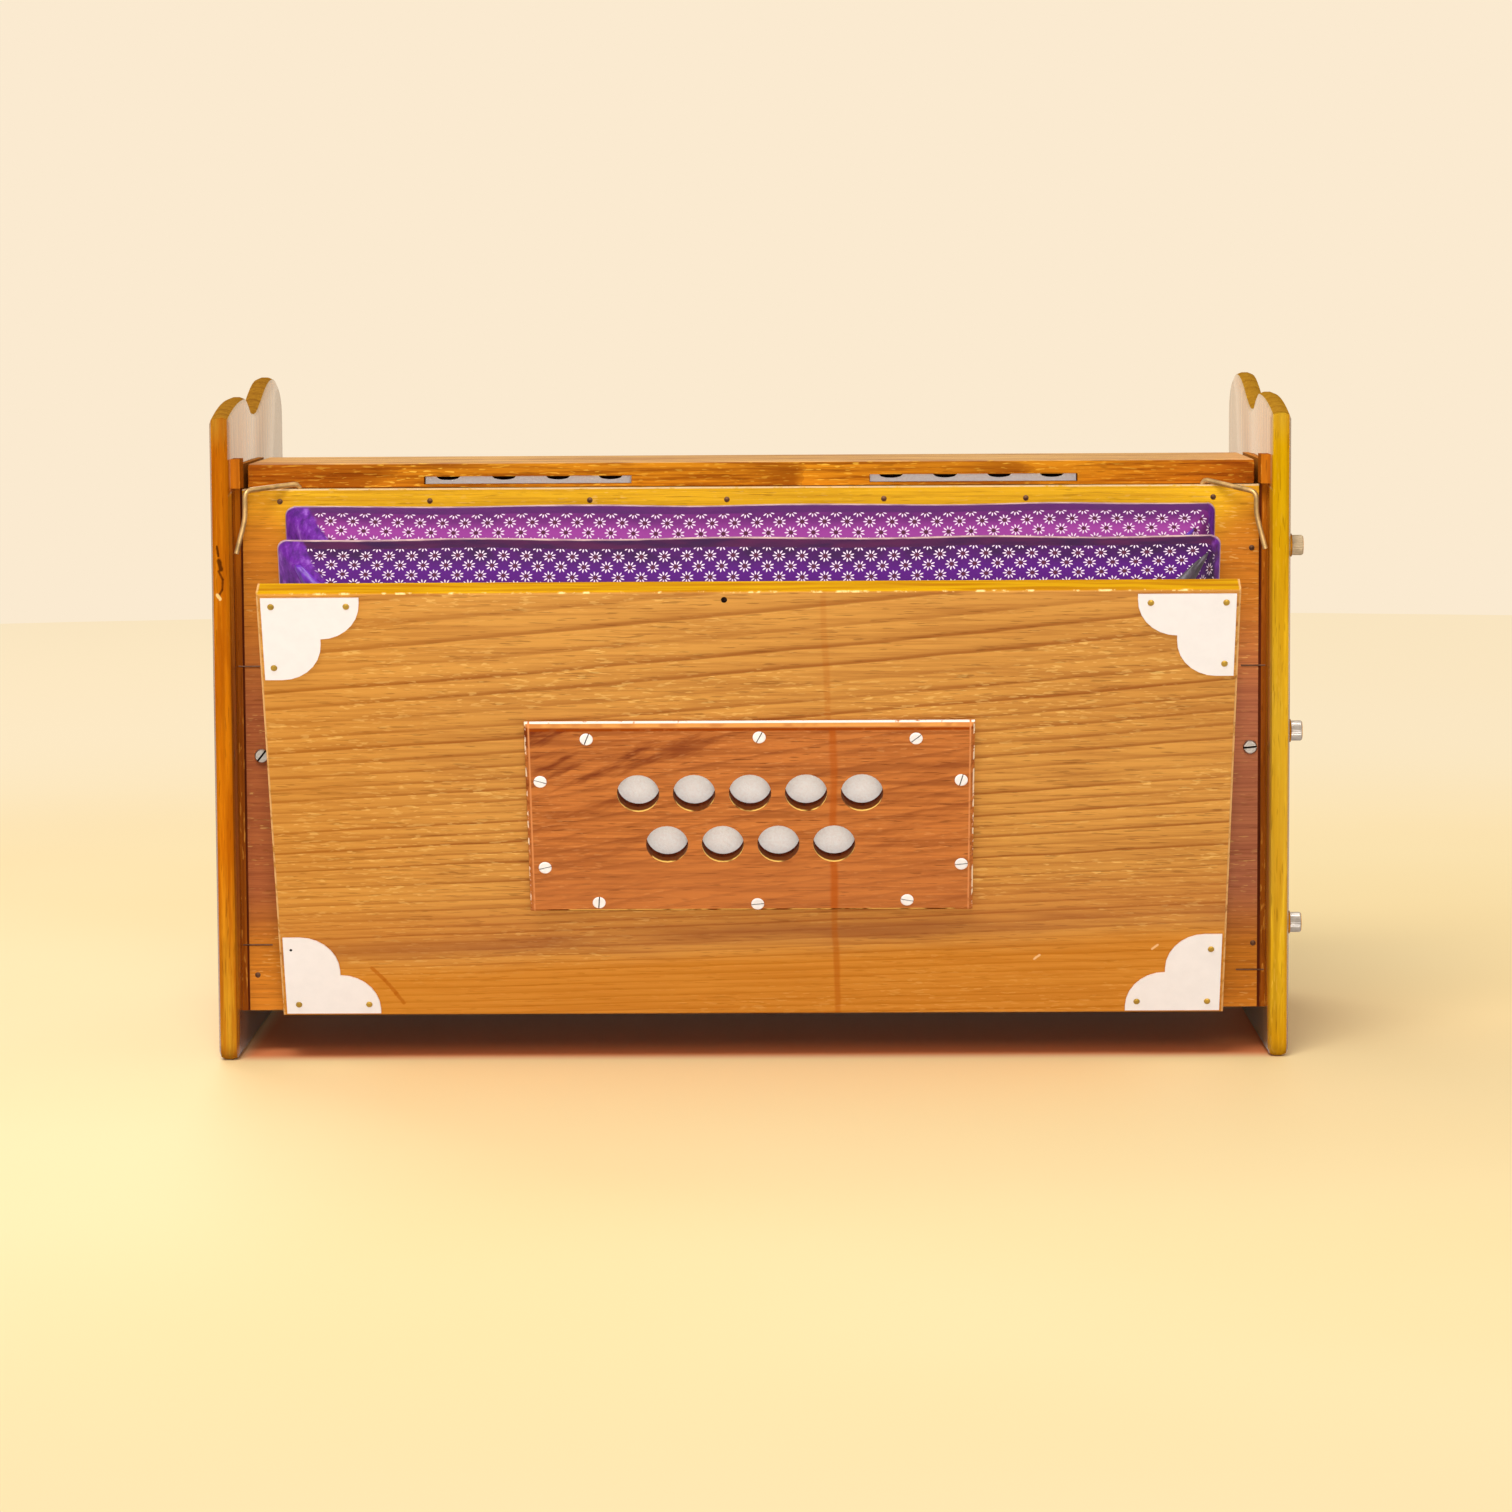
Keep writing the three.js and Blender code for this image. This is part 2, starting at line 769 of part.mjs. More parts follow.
// A corner plate has two round lobes; signX and signZ say which corner it covers
function cornerPlate(signX, signZ) {
  const cornerX = boardWidth / 2 - plateInset;
  const cornerZ = boardHeight / 2 - plateInset;
  const at = (a, b) => [signX * (cornerX - a), boardHeight / 2 + signZ * (cornerZ - b)];
  const points = [at(0, 0), at(plateWide, 0)];
  const steps = 7;
  const lobe = (a0, b0) => {
    for (let i = 0; i <= steps; i++) {
      const turn = ((Math.PI / 2) * i) / steps;
      points.push(at(a0 + plateLobe * Math.cos(turn), b0 + plateLobe * Math.sin(turn)));
    }
  };
  lobe(plateWide - plateLobe, (plateHigh - 2 * plateLobe) / 2);
  lobe(plateWide - 2 * plateLobe, plateHigh - plateLobe);
  points.push(at(0, plateHigh));
  return boardXZ(
    polygon(points),
    -boardThickness - fitGap - plateThickness,
    -boardThickness - fitGap,
  );
}

function buildCornerPlates(bellows) {
  for (const [place, signX, signZ] of [
    ["upper_left", -1, 1],
    ["upper_right", 1, 1],
    ["lower_left", -1, -1],
    ["lower_right", 1, -1],
  ]) {
    piece("corner_plate_" + place, cornerPlate(signX, signZ), silver, bellows);
  }
}

// Pleats. Five planes fan out from the frame board to the bellows board, numbered 0 to 4.
// A pleat is a thin folded ring: it leaves one even plane, crests on the odd one and ends on the next.
function onPlane(number, x, reach, shift = 0) {
  const share = number / 4;
  const tilt = lean * share;
  const root = frameSetBack - fitGap - (closedGap - 2 * fitGap) * share + shift;
  return [x, root - reach * Math.sin(tilt), hingeZ + reach * Math.cos(tilt)];
}

// Points round the bellows: up the left, over the top, down the right and back along the foot
function ringOutline(half, top, foot, round) {
  const points = [];
  const corner = (sign) => {
    const steps = 3;
    const arc = [];
    for (let i = 0; i <= steps; i++) {
      const turn = ((Math.PI / 2) * i) / steps;
      arc.push([
        sign * (half - round + round * Math.cos(turn)),
        top - round + round * Math.sin(turn),
      ]);
    }
    return arc;
  };
  const upShares = [0, 0.35, 0.7];
  const acrossShares = [0.3, 0.7];
  const edge = top - round;
  for (const share of upShares) points.push([-half, foot + share * (edge - foot)]);
  points.push(...corner(-1));
  for (const share of acrossShares) points.push([(2 * share - 1) * (half - round), top]);
  points.push(...corner(1).reverse());
  for (const share of [...upShares].reverse()) points.push([half, foot + share * (edge - foot)]);
  for (const share of acrossShares) points.push([(1 - 2 * share) * half, foot]);
  return points;
}

// The skin's inner side is moved in by its thickness over the sine of the fold's half angle
function inward(half, top, foot, round) {
  const spread = (reach) => closedGap / 4 + reach * Math.tan(lean / 4);
  const inset = (reach, depth) => pleatSkin * Math.hypot(1, depth / spread(reach));
  const above = inset(top, pleatDepth);
  const below = inset(foot, pleatFootDepth);
  const shrink = (top - foot - above - below) / (top - foot);
  return ringOutline(half, top, foot, round).map(([x, reach]) => [
    x - (x / half) * inset(reach, pleatDepth),
    foot + below + (reach - foot) * shrink,
  ]);
}

function pleat(first, half, reach) {
  const crest = [half, reach, pleatFoot, crestRound];
  const valley = [
    half - pleatDepth,
    reach - pleatDepth,
    pleatFoot + pleatFootDepth,
    crestRound / 2,
  ];
  const rows = [
    [first, valley, -fitGap / 4],
    [first + 1, crest, 0],
    [first + 2, valley, fitGap / 4],
  ];
  const place = ([number, , shift], outline) => outline.map(([x, r]) => onPlane(number, x, r, shift));
  const loops = [
    ...rows.map((row) => place(row, ringOutline(...row[1]))),
    ...rows.reverse().map((row) => place(row, inward(...row[1]))),
  ];
  const count = loops[0].length;
  const faces = [];
  loops.forEach((loop, i) => {
    const next = (i + 1) % loops.length;
    const inside = i >= rows.length;
    for (let j = 0; j < count; j++) {
      const k = (j + 1) % count;
      const [a, b, c, d] = [i * count + j, i * count + k, next * count + k, next * count + j];
      // both sides of the skin are split along the same diagonals
      if (inside) faces.push(a, d, b, d, c, b);
      else faces.push(a, c, b, a, d, c);
    }
  });
  const geometry = new THREE.BufferGeometry();
  geometry.setAttribute("position", new THREE.Float32BufferAttribute(loops.flat(2), 3));
  geometry.setIndex(faces);
  const flat = geometry.toNonIndexed();
  flat.computeVertexNormals();
  return flat;
}

function buildPleats() {
  ["inner", "outer"].forEach((name, i) => {
    const [, rootY, rootZ] = onPlane(2 * i + 1, 0, 0);
    const fold = new THREE.Group();
    fold.position.set(0, rootY, rootZ);
    part.add(fold);
    const geometry = pleat(2 * i, boardWidth / 2 - crestInsets[i], boardHeight + crestRises[i]);
    geometry.translate(0, -rootY, -rootZ);
    piece("pleat_" + name, geometry, cloth, fold);
  });
}

// Wire catches: the wire rises from its hole, runs out as an arm, then turns down and kicks out
function buildCatches() {
  for (const [name, sign, sag] of [
    ["catch_left", -1, catchSags[0]],
    ["catch_right", 1, catchSags[1]],
  ]) {
    const pivot = new THREE.Group();
    pivot.position.set(sign * catchPivotX, catchSetBack, frameTop);
    pivot.rotation.z = -sign * catchRestAngle;
    part.add(pivot);
    const corners = [
      [0, 0, -catchRoot],
      [0, 0, catchLift],
      [sign * catchArm, 0, catchLift - sag],
      [sign * catchArm, 0, -catchTip * 0.45],
      [sign * (catchArm + catchKick), 0, -catchTip],
    ].map((p) => new THREE.Vector3(...p));
    const path = new THREE.CurvePath();
    let from = corners[0];
    for (let i = 1; i < corners.length - 1; i++) {
      const before = corners[i].clone().sub(corners[i - 1]).setLength(catchBend);
      const after = corners[i + 1].clone().sub(corners[i]).setLength(catchBend);
      const start = corners[i].clone().sub(before);
      const end = corners[i].clone().add(after);
      path.add(new THREE.LineCurve3(from, start));
      path.add(new THREE.QuadraticBezierCurve3(start, corners[i], end));
      from = end;
    }
    path.add(new THREE.LineCurve3(from, corners[corners.length - 1]));
    const section = new THREE.Shape();
    section.absarc(0, 0, wireRadius, 0, 2 * Math.PI);
    const wire = new THREE.ExtrudeGeometry(section, {
      steps: 40,
      curveSegments: 4,
      extrudePath: path,
    });
    piece(name, wire, brass, pivot);
  }
}

buildSideBoards();
buildCase();
buildFrame();
buildLid();
buildReedBoard();
buildSurround();

const keyboard = new THREE.Group();
keyboard.position.set(0, pivotY, pivotZ);
part.add(keyboard);
buildKeys(keyboard);
buildStops();

const bellows = new THREE.Group();
bellows.position.set(0, hingeY, hingeZ);
bellows.rotation.x = lean;
part.add(bellows);
buildBellowsBoard(bellows);
buildCornerPlates(bellows);
buildPleats();
buildCatches();

// The origin is the middle of the footprint, on the floor
const middle = new THREE.Box3().setFromObject(part, true).getCenter(new THREE.Vector3());
part.position.set(-middle.x, -middle.y, 0);

export default part;
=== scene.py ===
"""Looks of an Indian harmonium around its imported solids: woods, cloth bellows, metal and keys."""

import math

import bmesh
import bpy
from mathutils import Matrix, Vector, noise


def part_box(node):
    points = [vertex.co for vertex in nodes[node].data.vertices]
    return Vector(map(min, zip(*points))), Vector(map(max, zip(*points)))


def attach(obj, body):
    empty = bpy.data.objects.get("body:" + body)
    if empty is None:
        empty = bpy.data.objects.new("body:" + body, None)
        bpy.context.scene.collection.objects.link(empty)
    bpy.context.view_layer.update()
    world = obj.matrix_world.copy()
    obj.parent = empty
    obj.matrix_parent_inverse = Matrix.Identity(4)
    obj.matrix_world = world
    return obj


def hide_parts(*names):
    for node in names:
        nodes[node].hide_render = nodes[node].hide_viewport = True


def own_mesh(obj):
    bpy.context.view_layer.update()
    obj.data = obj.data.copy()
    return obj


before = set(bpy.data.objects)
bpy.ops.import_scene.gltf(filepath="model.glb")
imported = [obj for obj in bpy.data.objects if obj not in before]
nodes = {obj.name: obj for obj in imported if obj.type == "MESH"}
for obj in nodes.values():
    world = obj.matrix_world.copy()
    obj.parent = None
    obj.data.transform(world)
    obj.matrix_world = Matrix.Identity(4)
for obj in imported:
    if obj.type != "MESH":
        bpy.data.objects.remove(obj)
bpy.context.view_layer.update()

MM = 0.001
CASE_HALF = 305.0  # model millimetres, outer face of the left side board
SIDE_THICK = 11.5
SIDE_HIGH = 384.5
LEAN = math.radians(23.3)
HINGE = Vector((0, 12, 31.3))  # the bellows hinge line, model millimetres
BOARD_THICK = 13.5
BOARD_HALF = 267.5
BOARD_HIGH = 270
FIT = 0.4  # between neighbouring solids
PANEL_THICK = 6
PANEL_FACE = BOARD_THICK + FIT + PANEL_THICK

side_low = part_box("side_board_left")[0]
SHIFT = Vector((side_low.x / MM + CASE_HALF, side_low.y / MM, 0))


def spot(x, y, z):
    """A point given in model millimetres, in the row frame in metres."""
    return (Vector((x, y, z)) + SHIFT) * MM


BOARD = Matrix.Translation(spot(*HINGE)) @ Matrix.Rotation(LEAN, 4, "X")


# Colours and material nodes
def rgb(r, g, b):
    """Linear colour from a display colour of 0 to 255."""
    def linear(v):
        v /= 255
        return v / 12.92 if v <= 0.04045 else ((v + 0.055) / 1.055) ** 2.4
    return (linear(r), linear(g), linear(b), 1.0)


class Tree:
    """A tree of shader nodes."""

    def __init__(self, tree):
        self.tree = tree

    def node(self, kind, inputs=(), **settings):
        made = self.tree.nodes.new("ShaderNode" + kind)
        for key, value in settings.items():
            setattr(made, key, value)
        for key, value in dict(inputs).items():
            if isinstance(value, bpy.types.NodeSocket):
                self.tree.links.new(value, made.inputs[key])
            else:
                made.inputs[key].default_value = value
        return made


class Paint(Tree):
    """A material with short calls for its nodes; every call returns an output socket."""

    def __init__(self, name):
        self.material = bpy.data.materials.new(name)
        self.material.use_nodes = True
        super().__init__(self.material.node_tree)
        self.shader = self.tree.nodes["Principled BSDF"]

    def math(self, operation, *values, clamp=False):
        made = self.node("Math", enumerate(values), operation=operation, use_clamp=clamp)
        return made.outputs[0]

    def mul(self, a, b):
        return self.math("MULTIPLY", a, b)

    def mad(self, a, b, c, clamp=False):
        """a times b, plus c."""
        return self.math("MULTIPLY_ADD", a, b, c, clamp=clamp)

    def add(self, a, b):
        return self.math("ADD", a, b)

    def sub(self, a, b):
        return self.math("SUBTRACT", a, b)

    def abs(self, a):
        return self.math("ABSOLUTE", a)

    def length(self, a, b):
        return self.math("SQRT", self.mad(a, a, self.mul(b, b)))

    def mix(self, share, a, b, blend="MIX"):
        made = self.node("Mix", {0: share, 6: a, 7: b}, data_type="RGBA", blend_type=blend)
        return made.outputs[2]

    def ramp(self, value, stops):
        made = self.node("ValToRGB", {0: value})
        marks = made.color_ramp.elements
        while len(marks) < len(stops):
            marks.new(0.5)
        for mark, (place, colour) in zip(marks, stops):
            mark.position = place
            mark.color = colour if len(colour) == 4 else (*colour, 1)
        return made.outputs[0]

    def place(self, matrix=None):
        """Coordinates in metres in the row frame, or in the frame that a matrix gives."""
        found = self.node("TexCoord").outputs["Object"]
        if matrix is None:
            return found
        inputs = {0: found, 1: matrix.to_translation(), 2: matrix.to_euler()}
        return self.node("Mapping", inputs, vector_type="TEXTURE").outputs[0]

    def stretch(self, vector, x, y, z):
        inputs = {0: vector, 3: (x, y, z)}
        return self.node("Mapping", inputs, vector_type="POINT").outputs[0]

    def split(self, vector):
        return self.node("SeparateXYZ", {0: vector}).outputs

    def join(self, x, y, z=0.0):
        return self.node("CombineXYZ", {0: x, 1: y, 2: z}).outputs[0]

    def noise(self, vector, scale, detail=2, rough=0.5):
        inputs = {"Vector": vector, "Scale": scale, "Detail": detail, "Roughness": rough}
        return self.node("TexNoise", inputs).outputs[0]

    def step(self, value, low, high):
        """0 below low, 1 above high, smooth between; low may be the larger."""
        inputs = {0: value, 1: low, 2: high, 3: 0.0, 4: 1.0}
        return self.node("MapRange", inputs, interpolation_type="SMOOTHSTEP").outputs[0]

    def band(self, value, low, high, soft):
        rise = self.step(value, low - soft, low + soft)
        return self.mul(rise, self.step(value, high + soft, high - soft))

    def bump(self, height, depth, strength=1.0):
        inputs = {"Height": height, "Distance": depth, "Strength": strength}
        self.link(self.node("Bump", inputs).outputs[0], "Normal")

    def link(self, value, socket):
        self.tree.links.new(value, self.shader.inputs[socket])

    def set(self, **values):
        for key, value in values.items():
            self.shader.inputs[key.replace("_", " ")].default_value = value
        return self


def even(density, tilt=0.0, along="X", across="Z"):
    """Growth rings at one spacing, sloped by tilt."""
    def phase(p, axes, sway):
        level = p.mad(axes[along], tilt, p.add(axes[across], sway))
        return p.mul(level, density)
    return phase


def board_rings(p, axes, sway):
    """The bellows board's rings: wide and rising to the right at the top, close and level at the foot."""
    depth = p.sub(p.add(sway, 0.27), axes["Z"])
    slope = p.mad(axes["Z"], 0.33, 0.02)
    level = p.mad(slope, axes["X"], depth)
    return p.mul(level, p.mad(level, 275, 66))


def wood(name, base, line, fleck, rings, matrix=None, along="X", sway=0.006, lines=0.8, grain=0.4,
         pores=0.4, flecks=0.5, cloud=0.12, roughness=0.36, coat=0.04, even_flecks=0.0, polished=None,
         tint=None, extra=None):
    """Varnished wood: thin ring lines, fine streaks and pores along the grain, and bright flecks.

    The faces across the polished axis have a full coat of clear varnish.
    """
    p = Paint(name)
    where = p.place(matrix)
    axes = dict(zip("XYZ", p.split(where)))

    def drawn(share):
        return p.stretch(where, *(share if axis == along else 1.0 for axis in "XYZ"))

    bend = p.mul(p.sub(p.noise(drawn(0.22), 8, 2), 0.5), sway)
    shake = p.sub(p.noise(drawn(0.2), 110, 3), 0.5)
    phase = rings(p, axes, p.mad(shake, 0.0022, bend))
    saw = p.math("FRACT", phase)
    each = p.node("TexWhiteNoise", {"W": p.math("FLOOR", phase)}, noise_dimensions="1D").outputs["Value"]
    core = p.mul(p.step(saw, 0.7, 0.9), p.step(saw, 1, 0.94))
    shade = p.mad(p.step(saw, 0.3, 0.95), 0.42, p.mul(core, 0.58))
    uneven = p.step(p.noise(drawn(0.12), 55, 2), -0.2, 0.62)
    shade = p.mul(p.mul(shade, uneven), p.mad(each, 0.6, 0.4))
    fine = p.noise(drawn(0.035), 420, 4, 0.65)
    streaks = p.step(fine, 0.6, 0.34)
    plain = p.mul(p.mad(shade, -lines, 1), p.mad(streaks, -grain, 1))
    ground = tint(p, axes, base) if tint else base
    groove = p.mix(1, ground, tuple(l / b for l, b in zip(line[:3], base[:3])) + (1,), "MULTIPLY")
    colour = p.mix(plain, groove, ground)
    deep = tuple(c * 0.45 for c in line[:3]) + (1,)
    colour = p.mix(p.mul(p.step(p.noise(drawn(0.3), 11, 3), 0.42, 0.68), cloud), colour, groove)
    pore = p.step(p.noise(drawn(0.07), 1000, 1), 0.37, 0.29)
    colour = p.mix(p.mul(pore, pores), colour, deep)
    dash = p.step(p.noise(drawn(0.17), 860, 1), 0.6, 0.67)
    dense = p.step(p.noise(drawn(0.3), 28, 2), 0.44, 0.6)
    dense = p.mad(dense, 0.65, p.mul(p.step(saw, 0.3, 0.06), 0.35))
    dense = p.math("MAXIMUM", dense, even_flecks)
    normal = p.split(p.node("TexCoord").outputs["Normal"])
    cut = p.step(p.abs(normal["XYZ".index(along)]), 0.8, 0.95)
    dense = p.mul(dense, p.sub(1, cut))
    colour = p.mix(p.mul(p.mul(dash, dense), flecks), colour, fleck)
    colour = p.mix(p.mul(cut, 0.35), colour, groove)
    if extra:
        colour = extra(p, axes, colour)
    p.link(colour, "Base Color")
    p.link(p.mad(fine, 0.16, roughness - 0.08), "Roughness")
    p.bump(p.mad(pore, -0.6, fine), 0.00015, 0.4)
    p.set(Coat_Weight=coat, Coat_Roughness=0.1, IOR=1.5, Specular_IOR_Level=0)
    if polished:
        flat = p.step(p.abs(normal["XYZ".index(polished)]), 0.7, 0.9)
        p.link(p.mul(flat, 0.95), "Coat Weight")
        p.set(Coat_IOR=1.7)
    return p.material


def metal(name, colour, roughness, metallic, spots):
    p = Paint(name)
    where = p.place()
    grime = p.noise(where, 130, 4, 0.6)
    tone = p.ramp(grime, [(0.35, [c * (1 - spots) for c in colour[:3]]), (0.62, colour)])
    p.link(tone, "Base Color")
    p.link(p.mad(grime, 0.25, roughness - 0.1), "Roughness")
    p.bump(p.noise(where, 900), 0.0001, 0.25)
    p.set(Metallic=metallic)
    return p.material


def mottled(name, dark, light, scale, detail=3, rough=0.5, stretch=(1, 1, 1), full=0.65,
            depth=0.0, strength=1.0, **values):
    """Two colours mixed by noise, which gives the bumps too."""
    p = Paint(name)
    pattern = p.noise(p.stretch(p.place(), *stretch), scale, detail, rough)
    p.link(p.ramp(pattern, [(0.3, dark), (full, light)]), "Base Color")
    if depth:
        p.bump(pattern, depth, strength)
    p.set(**values)
    return p.material


def satin(name, light, dark):
    return mottled(name, dark, light, 220, stretch=(1, 1, 0.4), depth=0.0008, strength=0.8,
                   Roughness=0.42, Coat_Weight=0.12, Coat_Roughness=0.3)


def rub_and_glint_lines(p, axes, colour, *rub_and_glint_specs):
    """Rubbed lines and painted highlight lines: each has its axis, planes across it, half width, range of
    noise and colour.
    """
    # the noise breaks up both the rubbed lines and the painted highlight lines
    rubbed = p.noise(p.place(), 130, 3, 0.7)
    for axis, planes, width, broken, rub_and_glint_colour in rub_and_glint_specs:
        for at in planes:
            near = p.step(p.abs(p.sub(axes[axis], at)), width, width * 0.3)
            colour = p.mix(p.mul(near, p.step(rubbed, *broken)), colour, rub_and_glint_colour)
    return colour


def scratch(p, across, up, points, width, colour, shade, strength):
    """A mark along the line through some points of a face, given in millimetres."""
    ragged = p.mul(p.sub(p.noise(p.place(), 600, 2), 0.5), width * 0.8)
    for (u0, v0), (u1, v1) in zip(points, points[1:]):
        u0, v0, du, dv = (c * MM for c in (u0, v0, u1 - u0, v1 - v0))
        u, v = p.sub(across, u0), p.sub(up, v0)
        run = du * du + dv * dv
        share = p.mad(u, du / run, p.mul(v, dv / run), clamp=True)
        u, v = p.mad(share, -du, u), p.mad(share, -dv, v)
        near = p.step(p.add(p.length(u, v), ragged), width, width * 0.4)
        colour = p.mix(p.mul(near, strength), colour, shade)
    return colour


def streak(p, axes, colour, low, high, half, shade, strength):
    """A run of varnish down the board, from X high at the top to X low at the foot, in millimetres."""
    lean = (high - low) / BOARD_HIGH
    sway = p.sub(p.noise(p.stretch(p.place(), 1, 1, 0.5), 60, 3), 0.5)
    x = p.mad(axes["Z"], -lean, p.sub(axes["X"], low * MM))
    x = p.mad(sway, 0.003, x)
    line = p.step(p.abs(x), half, half * 0.3)
    patchy = p.step(p.noise(p.stretch(p.place(), 1, 1, 0.5), 35, 2), 0.2, 0.6)
    line = p.mul(p.mul(line, p.mad(patchy, 0.6, 0.4)), strength)
    return p.mix(line, colour, shade)


def board_extra(p, axes, colour):
    """The bellows board: yellow top edge, a dark belt and honey colour low down, marks and rubbed edges."""
    x, s = axes["X"], axes["Z"]

    def drawn(share, scale):
        return p.noise(p.stretch(p.place(BOARD), share, 1, 1), scale, 3)

    wavy = drawn(0.25, 45.0)
    level = p.mad(wavy, 0.016, p.mad(x, -0.045, s))
    warm = p.band(level, 0.055, 0.086, 0.012)
    colour = p.mix(p.mul(warm, 0.35), colour, rgb(176, 100, 46))
    belt = p.band(level, 0.056, 0.066, 0.006)
    patch = p.step(drawn(0.12, 60), 0.3, 0.62)
    colour = p.mix(p.mul(p.mul(belt, patch), 0.6), colour, rgb(140, 74, 42))
    colour = p.mix(p.mul(p.step(level, 0.058, 0.04), 0.6), colour, rgb(202, 120, 20))
    left = p.mul(p.step(x, -0.12, -0.26), 0.25)
    colour = p.mix(left, colour, rgb(208, 132, 32))
    colour = streak(p, axes, colour, 48.6, 40.8, 0.0026, rgb(176, 88, 14), p.mad(s, -1.6, 0.62))
    colour = scratch(p, x, s, [(-215.6, 31.8), (-208.6, 23.8), (-202.7, 15.1), (-198.5, 8.4)], 0.0015, colour,
                     rgb(176, 92, 14), 0.7)
    for u, v in ((161.1, 37.3), (227.6, 43.6)):
        nick = [(u - 1.6, v - 1.2), (u + 1.4, v + 1.4)]
        colour = scratch(p, x, s, nick, 0.0009, colour, rgb(238, 190, 130), 0.9)
    top = p.step(s, 0.269, 0.2698)
    bright = p.mix(p.step(drawn(0.05, 300), 0.35, 0.65), rgb(190, 124, 4), rgb(222, 164, 10))
    colour = p.mix(p.mul(top, 0.95), colour, bright)
    back = p.mul(p.step(axes["Y"], -0.0016, -0.0006), p.mul(top, 0.7))
    colour = p.mix(back, colour, rgb(206, 160, 90))
    return rub_and_glint_lines(
        p, axes, colour,
        ("Z", [0.2694], 0.0006, (0.52, 0.64), rgb(250, 214, 140)),
        ("X", [-0.2671, 0.2671], 0.001, (0.3, 0.5), rgb(232, 176, 110)))


def panel_extra(p, axes, colour):
    """The air panel: dark slanted figure at the upper left, the run of varnish, rubbed bevels with a painted
    highlight on the top one, and painted shade and glints in the hole walls.
    """
    x, s = axes["X"], axes["Z"]
    slant = p.mad(x, -0.42, s)
    figure = p.noise(p.join(p.mul(x, 0.25), slant, axes["Y"]), 70, 4, 0.6)
    place = p.mul(p.step(x, 0.03, -0.09), p.step(s, 0.12, 0.175))
    place = p.mad(place, 0.7, 0.25)
    colour = p.mix(p.mul(p.step(figure, 0.5, 0.66), place), colour, rgb(118, 48, 20))
    colour = p.mix(p.mul(p.step(s, 0.125, 0.085), 0.35), colour, rgb(192, 114, 58))
    colour = streak(p, axes, colour, 46.8, 45.6, 0.003, rgb(178, 80, 8), 0.7)
    # painted shade in the hole walls, with a painted golden glint near their front edge
    wall = p.mul(p.step(axes["Y"], -0.0198, -0.0194), p.step(p.abs(x), 0.116, 0.112))
    glint = p.mul(p.step(axes["Y"], -0.0176, -0.0188), p.step(p.noise(p.place(), 90), 0.38, 0.55))
    colour = p.mix(wall, colour, p.mix(glint, rgb(112, 54, 14), rgb(255, 206, 104)))
    edge = p.step(s, 0.1888, 0.1899)
    colour = p.mix(p.mul(edge, 0.85), colour, rgb(204, 132, 66))
    return rub_and_glint_lines(
        p, axes, colour,
        ("Z", [0.1882], 0.0013, (0.1, 0.5), rgb(150, 62, 6)),
        # painted highlight: the white line along the top bevel
        ("Z", [0.1918], 0.0007, (0.3, 0.42), rgb(255, 246, 232)),
        ("X", [-0.124, 0.124], 0.0011, (0.47, 0.55), rgb(250, 226, 190)),
        ("X", [-0.1216, 0.1216], 0.0008, (0.2, 0.5), rgb(214, 136, 78)))


def frame_painted_light(p, axes, base):
    """The frame board has painted light on its top strip, where it is brightest, and painted shade low down
    at the sides, where it is reddest.
    """
    z = axes["Z"]
    away = p.step(p.abs(axes["X"]), 0.24, 0.285)
    high = p.mad(away, -0.04, z)
    # painted light: the top strip is made bright yellow
    colour = p.mix(p.step(high, 0.256, 0.306), base, rgb(242, 184, 38))
    colour = p.mix(p.mul(p.step(z, 0.315, 0.285), 0.6), colour, rgb(204, 120, 42))
    # painted shade: the sides are made darker and redder low down
    low = p.mul(p.step(z, 0.275, 0.19), p.step(z, 0.055, 0.1))
    side = p.mix(p.step(axes["X"], -0.1, 0.1), rgb(172, 94, 58), rgb(188, 114, 82))
    return p.mix(p.mul(low, 0.85), colour, side)


def lid_tint(p, axes, base):
    """The lid is redder and darker towards its ends, and paler on its top."""
    away = p.step(p.abs(axes["X"]), 0.17, 0.27)
    colour = p.mix(p.mul(away, 0.8), base, rgb(192, 104, 22))
    return p.mix(p.mul(p.step(axes["Z"], 0.3384, 0.339), 0.95), colour, rgb(254, 204, 132))


def lath_painted_shade(p, axes, base):
    """The laths below the battens are darker: painted shade in the recess beside the frame board."""
    return p.mix(p.step(axes["Z"], 0.326, 0.24), base, rgb(158, 82, 18))


def frame_top_highlight(p, axes, colour):
    # A painted highlight along the frame board's top edge, where it catches the light.
    return rub_and_glint_lines(p, axes, colour, ("Z", [0.3247], 0.0006, (0.3, 0.5), rgb(240, 204, 150)))


def near_edge(p, axes):
    return p.step(axes["Y"], -0.09, -0.093)


def side_tint(edge, top_tint):
    """A side board: its near edge has colours of its own up its height (on the right board with painted light
    at middle height), and it is paler at the top; its inner face above the lid has a painted pale sheen.
    """
    def tint(p, axes, base):
        ends = p.ramp(axes["Z"], edge)
        within = p.step(p.abs(p.sub(axes["X"], SHIFT.x * MM)), 0.2945, 0.2938)
        # painted sheen: the inner faces above the lid are made pale, standing for the reflection on their
        # varnish
        pale = p.mul(p.mul(within, p.step(axes["Z"], 0.322, 0.332)), 0.75)
        colour = p.mix(near_edge(p, axes), base, ends)
        colour = p.mix(p.mul(p.step(axes["Z"], 0.345, 0.365), 0.6), colour, top_tint)
        return p.mix(pale, colour, rgb(250, 186, 122))
    return tint


